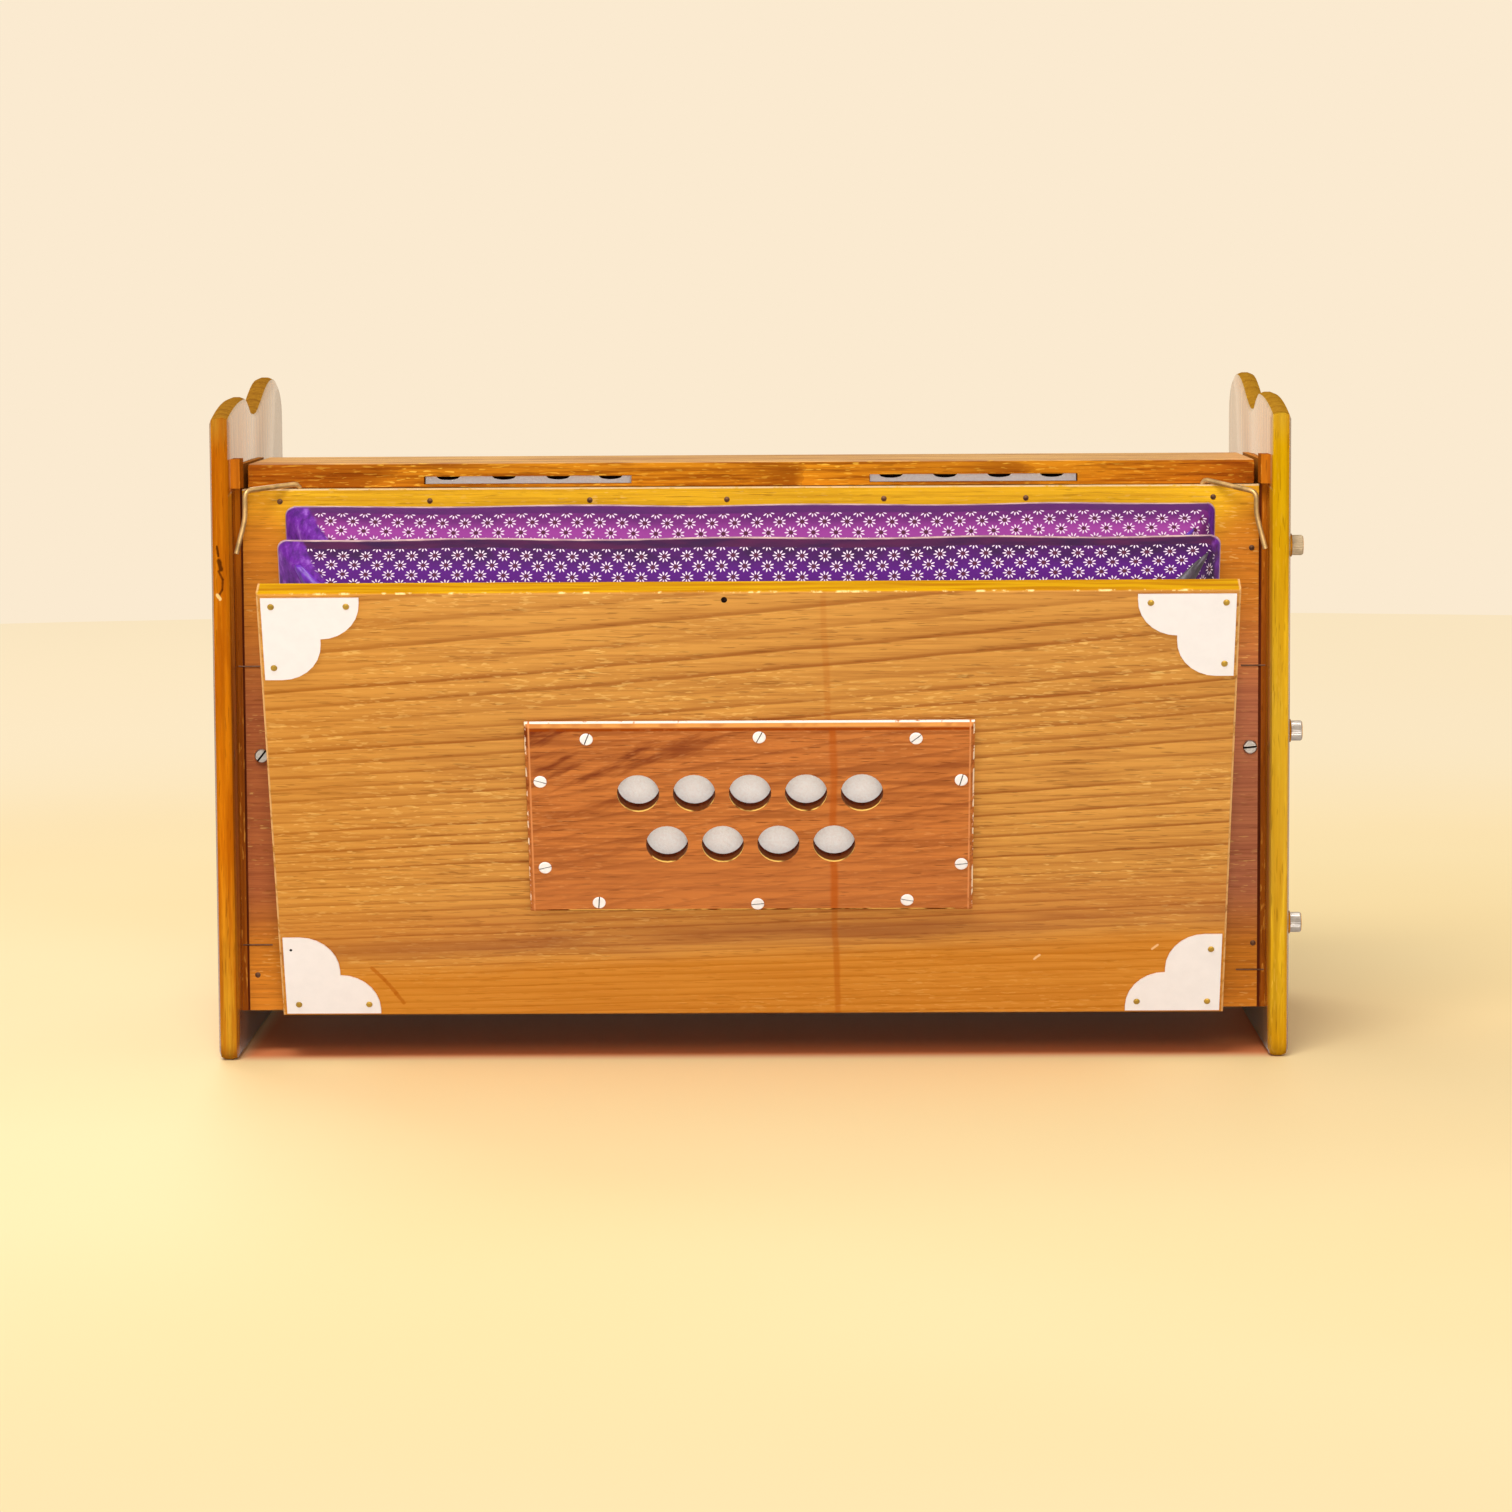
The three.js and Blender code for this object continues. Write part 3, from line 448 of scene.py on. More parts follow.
def side_extra(sign, stained, share, marks=()):
    """Tall streaks of stain, a darker foot and outer arris, and marks on a side board's near edge.

    The left board, with sign -1, has a darker inner arris too.
    """
    def extra(p, axes, colour):
        near = near_edge(p, axes)
        middle = sign * (CASE_HALF - SIDE_THICK / 2) + SHIFT.x
        offset = p.sub(axes["X"], middle * MM)
        away = p.abs(offset) if sign < 0 else offset
        rim = p.step(away, (SIDE_THICK / 2 - 3.4) * MM, (SIDE_THICK / 2 - 0.6) * MM)
        colour = p.mix(p.mul(p.mul(rim, near), 0.6), colour, rgb(160, 88, 4))
        foot = p.mul(p.step(axes["Z"], 0.012, 0), 0.6)
        colour = p.mix(p.mul(foot, near), colour, rgb(112, 68, 18))
        tall = p.noise(p.stretch(p.place(), 1, 1, 0.07), 170, 4, 0.6)
        stain = p.mul(p.step(tall, 0.42, 0.62), share)
        colour = p.mix(p.mul(near, stain), colour, stained)
        for points, width, shade in marks:
            drawn = [(x + SHIFT.x, z) for x, z in points]
            marked = scratch(p, axes["X"], axes["Z"], drawn, width, colour, shade, 0.85)
            colour = p.mix(near, colour, marked)
        return colour
    return extra


def build_woods():
    """The woods, by the names of the solids that they are for, and those of the battens."""
    scuffs = [([(-301.3, 293.9), (-300.6, 288.5)], 0.0009, rgb(70, 28, 4)),
              ([(-300.2, 286.0), (-299.2, 281.0)], 0.0017, rgb(60, 24, 4)),
              ([(-300.6, 280.0), (-298.2, 275.2), (-298.6, 269.5), (-301.0, 265.1)], 0.0009, rgb(90, 40, 6)),
              ([(-301.4, 266.4), (-300.0, 264.2)], 0.0012, rgb(246, 206, 130))]
    left_edge = [(0.03, rgb(208, 146, 34)), (0.12, rgb(211, 120, 12))]  # heights in metres, and colours
    # The right near edge is made brighter at middle height: painted light against the shade of the leaning
    # bellows board; the rest are its own colours.
    right_edge_with_painted_light = [(0.011, rgb(208, 150, 20)), (0.035, rgb(214, 166, 32)), (0.065, rgb(215, 166, 32)),
                  (0.11, rgb(254, 204, 56)), (0.2, rgb(250, 204, 50)), (0.29, rgb(232, 180, 18)),
                  (0.33, rgb(208, 158, 8))]
    side = {"along": "Z", "sway": 0.05, "lines": 0.6, "flecks": 0.3, "coat": 0.0, "polished": "X"}
    return {
        "bellows_board": wood(
            "bellows_board_wood", rgb(214, 152, 72), rgb(150, 84, 34), rgb(250, 206, 118), board_rings,
            matrix=BOARD, sway=0.008, lines=0.95, flecks=0.42, extra=board_extra),
        "air_panel": wood(
            "air_panel_wood", rgb(202, 120, 56), rgb(124, 58, 26), rgb(232, 164, 96), even(120, -0.2),
            matrix=BOARD, sway=0.03, lines=0.45, grain=0.5, pores=0.6, flecks=0.35, roughness=0.26,
            coat=0.12, extra=panel_extra),
        "frame_board": wood(
            "frame_board_wood", rgb(228, 146, 38), rgb(160, 86, 24), rgb(246, 200, 110), even(420),
            sway=0.004, lines=0.35, pores=0.3, tint=frame_painted_light, extra=frame_top_highlight),
        "lid": wood(
            "lid_wood", rgb(214, 134, 26), rgb(132, 62, 10), rgb(252, 196, 70), even(110, 0.05, "X", "Y"),
            sway=0.03, grain=0.8, flecks=0.65, cloud=0.45, roughness=0.5, coat=0.0, even_flecks=0.35,
            tint=lid_tint),
        "side_board_left": wood(
            "left_board_wood", rgb(186, 104, 20), rgb(116, 54, 8), rgb(232, 170, 70),
            even(75, 0.04, "Z", "Y"), tint=side_tint(left_edge, rgb(206, 156, 50)),
            extra=side_extra(-1, rgb(164, 78, 4), 0.6, scuffs), **side),
        "side_board_right": wood(
            "right_board_wood", rgb(204, 132, 26), rgb(146, 82, 12), rgb(246, 196, 84),
            even(75, -0.03, "Z", "Y"), tint=side_tint(right_edge_with_painted_light, rgb(206, 160, 50)),
            extra=side_extra(1, rgb(206, 144, 2), 0.3), **side),
        "case_walls": wood(
            "case_wood", rgb(208, 134, 50), rgb(152, 82, 26), rgb(250, 200, 110), even(120, 0.02),
            sway=0.03, lines=0.6),
        "batten": wood(
            "batten_wood", rgb(192, 106, 18), rgb(134, 64, 10), rgb(236, 160, 60),
            even(150, 0, "Z", "X"), along="Z", sway=0.02, lines=0.5, tint=lath_painted_shade),
        # a dark wood for painted shade in the gaps and deep in the air holes
        "joint": wood(
            "dark_gap_wood", rgb(104, 42, 14), rgb(60, 22, 8), rgb(140, 70, 30), even(150, 0, "Z", "X"),
            along="Z", flecks=0.1),
        "keyboard_surround": wood(
            "dark_wood", rgb(124, 62, 28), rgb(72, 32, 14), rgb(160, 96, 50), even(150), flecks=0.2),
        "reed_board": wood(
            "pale_wood", rgb(222, 182, 124), rgb(190, 142, 86), rgb(236, 208, 160), even(130),
            roughness=0.6, coat=0.0, flecks=0.2),
    }


# Solids: rounded edges and smooth shading come from modifiers, their vertices stay where they are
def modify(piece, kind, **settings):
    made = piece.modifiers.new(kind.lower(), kind)
    for key, value in settings.items():
        setattr(made, key, value)


def dress(name, material, bevel=0.0, smooth=math.radians(32)):
    """Gives a solid its material; bevel is in millimetres, smooth the angle up to which edges look round."""
    piece = nodes[name]
    mesh = piece.data
    mesh.materials.clear()
    mesh.materials.append(material)
    if "custom_normal" in mesh.attributes:
        mesh.attributes.remove(mesh.attributes["custom_normal"])
    for face in mesh.polygons:
        face.use_smooth = True
    modify(piece, "WELD", merge_threshold=1e-5)
    if bevel:
        modify(piece, "DECIMATE", decimate_type="DISSOLVE", angle_limit=math.radians(0.5))
        modify(piece, "BEVEL", width=bevel * MM, segments=2, limit_method="ANGLE",
               angle_limit=math.radians(40))
    modify(piece, "EDGE_SPLIT", split_angle=smooth)


def add_object(name, data):
    made = bpy.data.objects.new(name, data)
    bpy.context.scene.collection.objects.link(made)
    return made


def mesh_object(name, made, *materials):
    """An object in the scene with the faces of a bmesh, which is freed."""
    mesh = bpy.data.meshes.new(name)
    made.to_mesh(mesh)
    made.free()
    for material in materials:
        mesh.materials.append(material)
    return add_object(name, mesh)


def mesh_piece(name, body, slot, make, parts, *materials):
    """A new piece: make adds each of its parts to a bmesh with points in the row frame."""
    made = bmesh.new()
    for part in parts:
        make(made, *part)
    bmesh.ops.recalc_face_normals(made, faces=made.faces)
    piece = mesh_object(name, made, *materials)
    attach(piece, body)
    return piece


def polar(radius, angle, height):
    """A point round Z, given in millimetres."""
    return Vector((radius * math.cos(angle), radius * math.sin(angle), height)) * MM


def bridge(made, lower, upper):
    """Faces between two closed loops of corners."""
    count = len(lower)
    for i in range(count):
        j = (i + 1) % count
        made.faces.new([lower[i], lower[j], upper[j], upper[i]])


def circle(made, matrix, radius, height, sides):
    """A loop of corners round the matrix's Z."""
    return [made.verts.new(matrix @ polar(radius, 2 * math.pi * i / sides, height)) for i in range(sides)]


def solid(made, rings):
    """Faces between neighbouring loops of corners, and over the first and the last loop."""
    for lower, upper in zip(rings, rings[1:]):
        bridge(made, lower, upper)
    made.faces.new(rings[0])
    made.faces.new(rings[-1])


def lathe(made, matrix, profile, sides, index=0):
    """Turns a profile of (radius, height) round the matrix's Z, and closes it at both ends.

    The index is that of the faces' material.
    """
    rings, faces = [], []
    for radius, height in profile:
        if radius == 0:
            rings.append([made.verts.new(matrix @ Vector((0, 0, height * MM)))])
        else:
            rings.append(circle(made, matrix, radius, height, sides))
    for lower, upper in zip(rings, rings[1:]):
        for i in range(sides):
            j = (i + 1) % sides
            corners = [ring[k % len(ring)] for ring, k in ((lower, i), (lower, j), (upper, j), (upper, i))]
            unique = list(dict.fromkeys(corners))
            if len(unique) > 2:
                faces.append(made.faces.new(unique))
    for ring in (rings[0], rings[-1]):
        if len(ring) > 1:
            faces.append(made.faces.new(ring))
    for face in faces:
        face.material_index = index


def prism(made, matrix, outline, low, high):
    """A solid with the outline (x, y) between two heights over the matrix's XY plane."""
    sides = []
    for height in (low, high):
        sides.append([made.verts.new(matrix @ (Vector((x, y, height)) * MM)) for x, y in outline])
    made.faces.new(sides[0])
    made.faces.new(sides[1])
    bridge(made, *sides)


def surface(made, grid):
    """Smooth faces over rows of points."""
    rows = [[made.verts.new(point) for point in row] for row in grid]
    for lower, upper in zip(rows, rows[1:]):
        for j in range(len(lower) - 1):
            made.faces.new([lower[j], lower[j + 1], upper[j + 1], upper[j]]).smooth = True


def block(made, xs, ys, zs):
    """A box between two places on each axis, in model millimetres."""
    outline = [(xs[0], ys[0]), (xs[1], ys[0]), (xs[1], ys[1]), (xs[0], ys[1])]
    prism(made, Matrix.Translation(spot(0, 0, 0)), outline, *zs)


def tube(made, matrix, inner, outer, low, high, sides=40):
    """A short pipe round the matrix's Z."""
    profile = ((inner, low), (outer, low), (outer, high), (inner, high))
    rings = [circle(made, matrix, radius, height, sides) for radius, height in profile]
    for lower, upper in zip(rings, rings[1:] + rings[:1]):
        bridge(made, lower, upper)


def slotted(made, matrix, radius, height, slot, turn):
    """A screw head: a thin disc with two raised halves either side of its slot."""
    lathe(made, matrix, [(radius * 0.97, 0), (radius * 0.97, height * 0.5), (0, height * 0.5)], 24, 1)
    start = math.asin(slot / 2 / radius)
    steps = 12
    for side in (0, math.pi):
        spin = Matrix.Rotation(side + turn, 4, "Z")
        rings = []
        for scale, rise in ((1.0, 0.4), (1.0, 0.75), (0.86, 1.0)):
            arc = []
            for i in range(steps + 1):
                angle = start + (math.pi - 2 * start) * i / steps
                x, y = radius * math.cos(angle) * scale, radius * math.sin(angle) * scale
                y = max(y, slot / 2)
                arc.append(made.verts.new(matrix @ spin @ (Vector((x, y, rise * height)) * MM)))
            rings.append(arc)
        solid(made, rings)


def facing_side(x, y, z):
    """A frame with its Z to the right."""
    return Matrix.Translation(spot(x, y, z)) @ Matrix.Rotation(math.radians(90), 4, "Y")


def facing_board(x, s, depth):
    """A frame on the outer face of the bellows board, its Z pointing out of the board."""
    place = BOARD @ Matrix.Translation(Vector((x, -depth, s)) * MM)
    return place @ Matrix.Rotation(math.radians(90), 4, "X")


def facing_front(x, y, z):
    """A frame with its Z to the front."""
    return Matrix.Translation(spot(x, y, z)) @ Matrix.Rotation(math.radians(90), 4, "X")


# Bellows cloth, in model millimetres
PLEAT_DEPTH = 27.0
CREST_BEND = 0.05  # of half a pleat
VALLEY = 0.985  # a pleat ends this far towards the plane of the next valley
SKIN = 0.8
CLOSED_GAP = 13.0  # between the two boards when the bellows is shut
FRAME_FACE = 25.0
FOLDS = {"inner": (0, 261.5, 286.7), "outer": (2, 259.5, 283.0)}  # first valley, half width, reach
TAPE = 7.6
PITCH = 12.6  # of the printed flowers
PETALS = 9
PETAL_RING, PETAL_HALF, PETAL_SLIM = 2.48, 1.1, 0.38  # radius of the ring, half length, half width
CENTRE = (0.0014, 0.0011)  # outer and inner radius of a flower's soft-edged middle


def on_plane(number, x, reach):
    """A point on a plane through the hinge; plane 0 lies on the frame board, plane 4 on the bellows board."""
    share = number / 4
    tilt = LEAN * share
    root = FRAME_FACE - FIT - (CLOSED_GAP - 2 * FIT) * share
    return spot(x, root - reach * math.sin(tilt), HINGE.z + reach * math.cos(tilt))


def ring_samples():
    """Places round the bellows: (side, share), up the left, over the top, down the right, along the foot."""
    side, corner, top, foot = 14, 8, 60, 12  # steps
    samples = [("left", i / side) for i in range(side)]
    samples += [("corner_left", i / corner) for i in range(corner)]
    samples += [("top", i / top) for i in range(top + 1)]
    samples += [("corner_right", 1 - i / corner) for i in range(1, corner + 1)]
    samples += [("right", 1 - i / side) for i in range(1, side + 1)]
    samples += [("foot", i / foot) for i in range(1, foot)]
    return samples


def fold_depth(t):
    """0 at the crest, 1 at the valleys, where t is -1 and 1."""
    return (math.hypot(t, CREST_BEND) - CREST_BEND) / (math.hypot(1, CREST_BEND) - CREST_BEND)


def ring_point(kind, share, half, top, foot, corner):
    if kind in ("left", "right"):
        sign = -1 if kind == "left" else 1
        return sign * half, foot + share * (top - corner - foot)
    if kind.startswith("corner"):
        sign = -1 if kind.endswith("left") else 1
        turn = share * math.pi / 2
        return sign * (half - corner + corner * math.cos(turn)), top - corner + corner * math.sin(turn)
    if kind == "top":
        return (2 * share - 1) * (half - corner), top
    return (1 - 2 * share) * half, foot


def pleat_loops(first, half, reach, rows=9):
    """Loops of points from one valley over the crest to the next, and each loop's distance from the crest."""
    samples = ring_samples()
    loops = []
    for i in range(-rows, rows + 1):
        t = i / rows
        t = math.copysign(abs(t) ** 1.25, t)
        deep = fold_depth(t)
        depth = PLEAT_DEPTH * deep
        foot = 3 + 3 * deep
        corner = 5 - 2 * deep
        number = first + 1 + t * (VALLEY if abs(t) > 0.5 else 1.0)
        points = []
        for kind, share in samples:
            x, r = ring_point(kind, share, half - depth, reach - depth, foot, corner)
            point = on_plane(number, x, r)
            if kind == "top":
                swell = 0.45 * math.sin(math.pi * abs(t))
                sag = 0.35 * noise.noise(Vector((x * 0.02, r * 0.02, number * 3.1 + t)))
                wave = 0.45 * math.sin(x * 0.045 + first)
                point.z += (swell + sag + wave) * MM * (1 - abs(t) * 0.6)
            points.append(point)
        loops.append((t, points))
    return samples, loops


def build_pleat(name, material):
    """One pleat: its uv runs along the bellows and across the cloth from the crest, in metres."""
    first, half, reach = FOLDS[name]
    samples, loops = pleat_loops(first, half, reach)
    count = len(samples)
    valley, crest = loops[0][1], loops[len(loops) // 2][1]
    lengths = [(a - b).length for a, b in zip(valley, crest)]

    made = bmesh.new()
    layer = made.loops.layers.uv.new("cloth")
    grid = [[made.verts.new(p) for p in points] for _, points in loops]
    for i in range(len(loops) - 1):
        for j in range(count):
            k = (j + 1) % count
            face = made.faces.new([grid[i][j], grid[i][k], grid[i + 1][k], grid[i + 1][j]])
            face.smooth = True
            flat = all(kind in ("top", "foot") or share > 0.5 and kind.startswith("corner")
                       for kind, share in (samples[j], samples[k]))
            for corner, (row, column) in zip(face.loops, ((i, j), (i, k), (i + 1, k), (i + 1, j))):
                point = loops[row][1][column]
                along = point.x if flat else point.z + 0.7
                corner[layer].uv = (along, loops[row][0] * lengths[column])
    bmesh.ops.recalc_face_normals(made, faces=made.faces)
    piece = mesh_object("cloth_pleat_" + name, made, material)
    modify(piece, "SOLIDIFY", thickness=SKIN * MM, offset=-1)
    settle(piece)
    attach(piece, "fold_" + name)
    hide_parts("pleat_" + name)
    flatten(piece)
    return piece


def settle(piece):
    """Applies the modifiers to the mesh."""
    bpy.context.view_layer.update()
    graph = bpy.context.evaluated_depsgraph_get()
    done = bpy.data.meshes.new_from_object(piece.evaluated_get(graph), depsgraph=graph)
    done.name = piece.name
    piece.modifiers.clear()
    piece.data = done


def flatten(piece):
    """Gives a piece a mesh of its own."""
    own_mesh(piece)


def daisies(p, u, v, shift):
    """Mask of petals and of centres for one lattice of nine-petalled flowers."""
    def local(value, offset):
        cell = p.math("FRACT", p.add(p.math("DIVIDE", value, PITCH * MM), 100 + offset))
        return p.mul(p.sub(cell, 0.5), PITCH * MM)

    x, y = local(u, shift), local(v, shift)
    radius = p.length(x, y)
    angle = p.math("ARCTAN2", y, x)
    turn = p.sub(p.math("FRACT", p.mad(angle, PETALS / 2 / math.pi, PETALS)), 0.5)
    lateral = p.mul(radius, p.math("SINE", p.mul(turn, 2 * math.pi / PETALS)))
    a = p.math("DIVIDE", lateral, PETAL_SLIM * MM)
    b = p.math("DIVIDE", p.sub(radius, PETAL_RING * MM), PETAL_HALF * MM)
    inside = p.add(p.mul(a, a), p.mul(b, b))
    return p.step(inside, 1.25, 0.75), p.step(radius, *CENTRE)


def cloth(name, base, deep, low, tape, tall, side):
    """Printed cotton with a taped crest, a pale crest line that is partly its worn edge and partly a painted
    highlight, and satin ends.

    low is the colour far from the crest, tall the stretch of the print across the pleat, and side the
    distance from the middle at which the satin starts.
    """
    p = Paint(name)
    uv = p.node("UVMap", uv_map="cloth").outputs[0]
    u, v, _ = p.split(uv)
    patchy = p.noise(uv, 45, 3)
    colour = p.mix(p.step(patchy, 0.35, 0.65), deep, base)
    away = p.abs(v)
    colour = p.mix(p.step(away, 0.01, 0.024), colour, low)
    ragged = p.noise(p.place(), 90, 3)
    x, _, z = p.split(p.place())
    out = p.mad(ragged, 0.01, p.abs(x))
    out = p.add(out, p.mul(p.mul(away, 0.45), p.step(x, 0, -0.1)))
    end = p.mul(p.step(out, side + 0.003, side + 0.006), p.step(z, 0.205, 0.235))
    printed = p.step(away, TAPE * MM - 0.0002, TAPE * MM + 0.0006)
    printed = p.mul(printed, p.mad(end, -0.7, 1))
    for shift in (0.0, 0.5):
        petals, centre = daisies(p, u, p.math("DIVIDE", v, tall), shift)
        colour = p.mix(p.mul(petals, p.mul(printed, 0.95)), colour, rgb(250, 224, 238))
        colour = p.mix(p.mul(centre, printed), colour, rgb(84, 26, 56))
    stain = p.noise(p.stretch(uv, 0.25, 1, 1), 120, 3)
    taped = p.mix(p.step(stain, 0.35, 0.7), tape, deep)
    crease = p.noise(p.stretch(p.place(), 1, 1, 0.5), 240, 3)
    sheen = p.ramp(crease, [(0.35, rgb(76, 14, 118)), (0.55, rgb(118, 36, 166)), (0.72, rgb(166, 102, 208))])
    colour = p.mix(p.mul(end, 0.85), colour, sheen)
    taped = p.mix(p.mul(end, 0.85), taped, sheen)
    colour = p.mix(p.sub(1, printed), colour, taped)
    # a pale line along the crest: its worn edge and a painted highlight
    ragged = p.noise(p.stretch(uv, 0.4, 1, 1), 260, 3)
    line = p.step(p.mad(ragged, 0.0014, away), 0.0029, 0.0018)
    rub_and_glint_colour = p.mix(p.step(patchy, 0.4, 0.62), rgb(236, 194, 186), rgb(188, 142, 152))
    colour = p.mix(p.mul(line, 0.9), colour, rub_and_glint_colour)
    p.link(colour, "Base Color")
    threads, weft = (p.node("TexWave", {"Vector": uv, "Scale": 700.0}, bands_direction=way).outputs[1]
                     for way in "XY")
    p.bump(p.mad(patchy, 3, p.add(threads, weft)), 0.0001, 0.6)
    p.set(Roughness=0.5, Sheen_Weight=0.03, Coat_Weight=0.02, Coat_Roughness=0.3, Specular_IOR_Level=0.2)
    return p.material


def build_gusset(name, sign, material, start, narrow, wide):
    """A patch folded over the corner crease of a pleat's outer side, with small wrinkles."""
    first, half, reach = FOLDS[name]

    def point(t, across):
        depth = PLEAT_DEPTH * fold_depth(t)
        x, r = half - depth - max(across, 0), reach - depth + min(across, 0)
        place = on_plane(first + 1 + t * VALLEY, sign * x, r)
        ridge = 0.45 + 0.3 * math.sin(across * 1.3 + t * 7) + 0.15 * math.sin(across * 2.9 - t * 11)
        return place + Vector((0, -0.6, 0.75)) * (ridge + 0.3) * MM

    grid, steps, columns = [], 12, 8
    for i in range(steps + 1):
        t = start + (0.96 - start) * i / steps
        spread = narrow + (wide - narrow) * (i / steps) ** 0.8
        grid.append([point(t, (2 * j / columns - 1) * spread) for j in range(columns + 1)])
    label = "gusset_" + name + ("_left" if sign < 0 else "_right")
    piece = mesh_piece(label, "fold_" + name, "printed_cloth", surface, [(grid,)], material)
    modify(piece, "SOLIDIFY", thickness=SKIN / 2 * MM)
    settle(piece)
    flatten(piece)
    return piece


def build_air_sleeves(material):
    """The round holes run on behind the air panel to the leather."""
    inner, outer, behind, length = 11.75, 13.2, 3.2, 3.5
    # their dark wood paints the shade deep in the holes
    mesh_piece("air_sleeves", "bellows", "dark_teak", tube, [
        (facing_board(x, s, BOARD_THICK - behind), inner, outer, 0, length) for x, s in AIR_HOLES], material)


def build_battens(material, dark):
    """A batten inside each side board at the lid's height, and below it a lath with a dark strip beside it,
    painted shade in the gap by the frame board.
    """
    inner, split, under = CASE_HALF - SIDE_THICK, 290.6, 326.0
    lath, crack = (24.4, FRAME_FACE), (24.8, FRAME_FACE)
    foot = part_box("frame_board")[0].z / MM
    for sign, side, top, edge in ((-1, "left", 343.0, 288.2), (1, "right", 342.8, 288.1)):
        mesh_piece("batten_" + side, "case", "teak", block, [
            ((sign * inner, sign * edge), (4.5, 22.0), (326.4, top)),
            ((sign * inner, sign * split), lath, (foot, under))], material)
        # a dark strip in the gap: painted shade
        mesh_piece("joint_" + side, "case", "dark_teak", block, [
            ((sign * split, sign * (289.2 - 0.2 * sign)), crack, (foot, under))], dark)


# Small metal parts
AIR_HOLES = [(31 * i, 148.0) for i in range(-2, 3)] + [(31 * (i - 1.5), 115.5) for i in range(4)]
PANEL_SCREWS = [(-89.8, 182.6), (5.4, 183.4), (91.7, 182.3), (-116, 156.0), (-114.9, 101.0),
                (116.8, 156.0), (117.4, 102.4), (-85.3, 78.2), (3.6, 77.0), (87.3, 79.2)]
SLOT_TURNS = [1.2, 1.1, 0.7, -0.3, 0.25, 1.3, 0.1, 1.5, 0.1, -0.2]
FRAME_NAILS = [(-268, 318), (-182.5, 318), (-91.4, 318), (-13.4, 318), (75.9, 318), (156.6, 318),
               (263, 318), (285, 289), (286.7, 62.3), (-284.8, 46.0)]
FRAME_SCREWS = [(-280.5, 172.6), (284.5, 175.2)]


def build_small_metal(bright, brass, steel, pale, dark_fill):
    # the floors of the screw slots and one nail are dark
    mesh_piece("panel_screws", "bellows", "white_metal", slotted, [
        (facing_board(x, s, PANEL_FACE - 0.3), 3.6, 1.1, 0.6, turn)
        for (x, s), turn in zip(PANEL_SCREWS, SLOT_TURNS)], pale, dark_fill)

    inset = 2.4  # of the plates from the board's edges
    plate_low, plate_high = inset, BOARD_HIGH - inset
    edge = BOARD_HALF - inset
    nails = []
    for sign in (-1, 1):
        nails += [(sign * (edge - 5.5), plate_high - 5.0), (sign * (edge - 46.5), plate_high - 5.0),
                  (sign * (edge - 5.2), plate_high - 42.5)]
        nails += [(sign * (edge - 7.0), plate_low + 6.0), (sign * (edge - 47.0), plate_low + 6.0)]
    nails.append((edge - 6.0, plate_low + 40.5))

    dome = [(1.9, 0), (1.8, 0.5), (1.2, 0.95), (0, 1.15)]
    mesh_piece("plate_nails", "bellows", "brass_wire", lathe, [
        (facing_board(x, s, BOARD_THICK + 1.2), dome, 14) for x, s in nails], brass)
    mesh_piece("board_nail", "bellows", "brass_wire", lathe, [
        (facing_board(-13, 265.0, BOARD_THICK - 0.3), [(1.8, 0), (1.7, 0.5), (0, 0.8)], 12),
        (facing_board(-260.8, 44.6, BOARD_THICK + 1.3), [(0.9, 0), (0.8, 0.12), (0, 0.12)], 12)], dark_fill)
    mesh_piece("frame_nails", "case", "brass_wire", lathe, [
        (facing_front(x, FRAME_FACE + 0.3, z), [(1.7, 0), (1.6, 0.5), (0, 0.9)], 12)
        for x, z in FRAME_NAILS], steel)
    mesh_piece("frame_screws", "case", "white_metal", slotted, [
        (facing_front(x, FRAME_FACE + 0.2, z), 4.0, 2.6, 1.1, 0.9 - 0.8 * i)
        for i, (x, z) in enumerate(FRAME_SCREWS)], bright, dark_fill)
    mesh_piece("wire_pins", "case", "brass_wire", lathe, [
        (facing_side(x0, FRAME_FACE - 0.5, z), [(0.45, 0), (0.45, x1 - x0)], 8)
        for x0, x1, z in ((-293, -279, 224), (-293, -276, 63.5), (279, 293, 222), (277, 293, 47))], steel)


def knurled(made, place, length):
    rings, teeth = [], 36
    for radius, height in ((5.3, 0), (5.75, 0.3), (5.75, length - 0.7), (5.3, length - 0.1)):
        ring = []
        for k in range(teeth * 2):
            groove = 0.3 if k % 2 else 0.0
            ring.append(made.verts.new(place @ polar(radius - groove, math.pi * k / teeth, height)))
        rings.append(ring)
    solid(made, rings)


def build_studs(metals):
    """Knurled sleeves round the studs of the right side board."""
    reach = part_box("side_board_right")[1].x / MM - SHIFT.x
    length = reach - CASE_HALF - 2.0
    for i, share in enumerate((0.195, 0.481, 0.756)):
        place = facing_side(CASE_HALF + 1.9, 20, share * SIDE_HIGH)
        mesh_piece("stud_knurl_" + str(i + 1), "case", "white_metal", knurled, [(place, length)], metals[i])


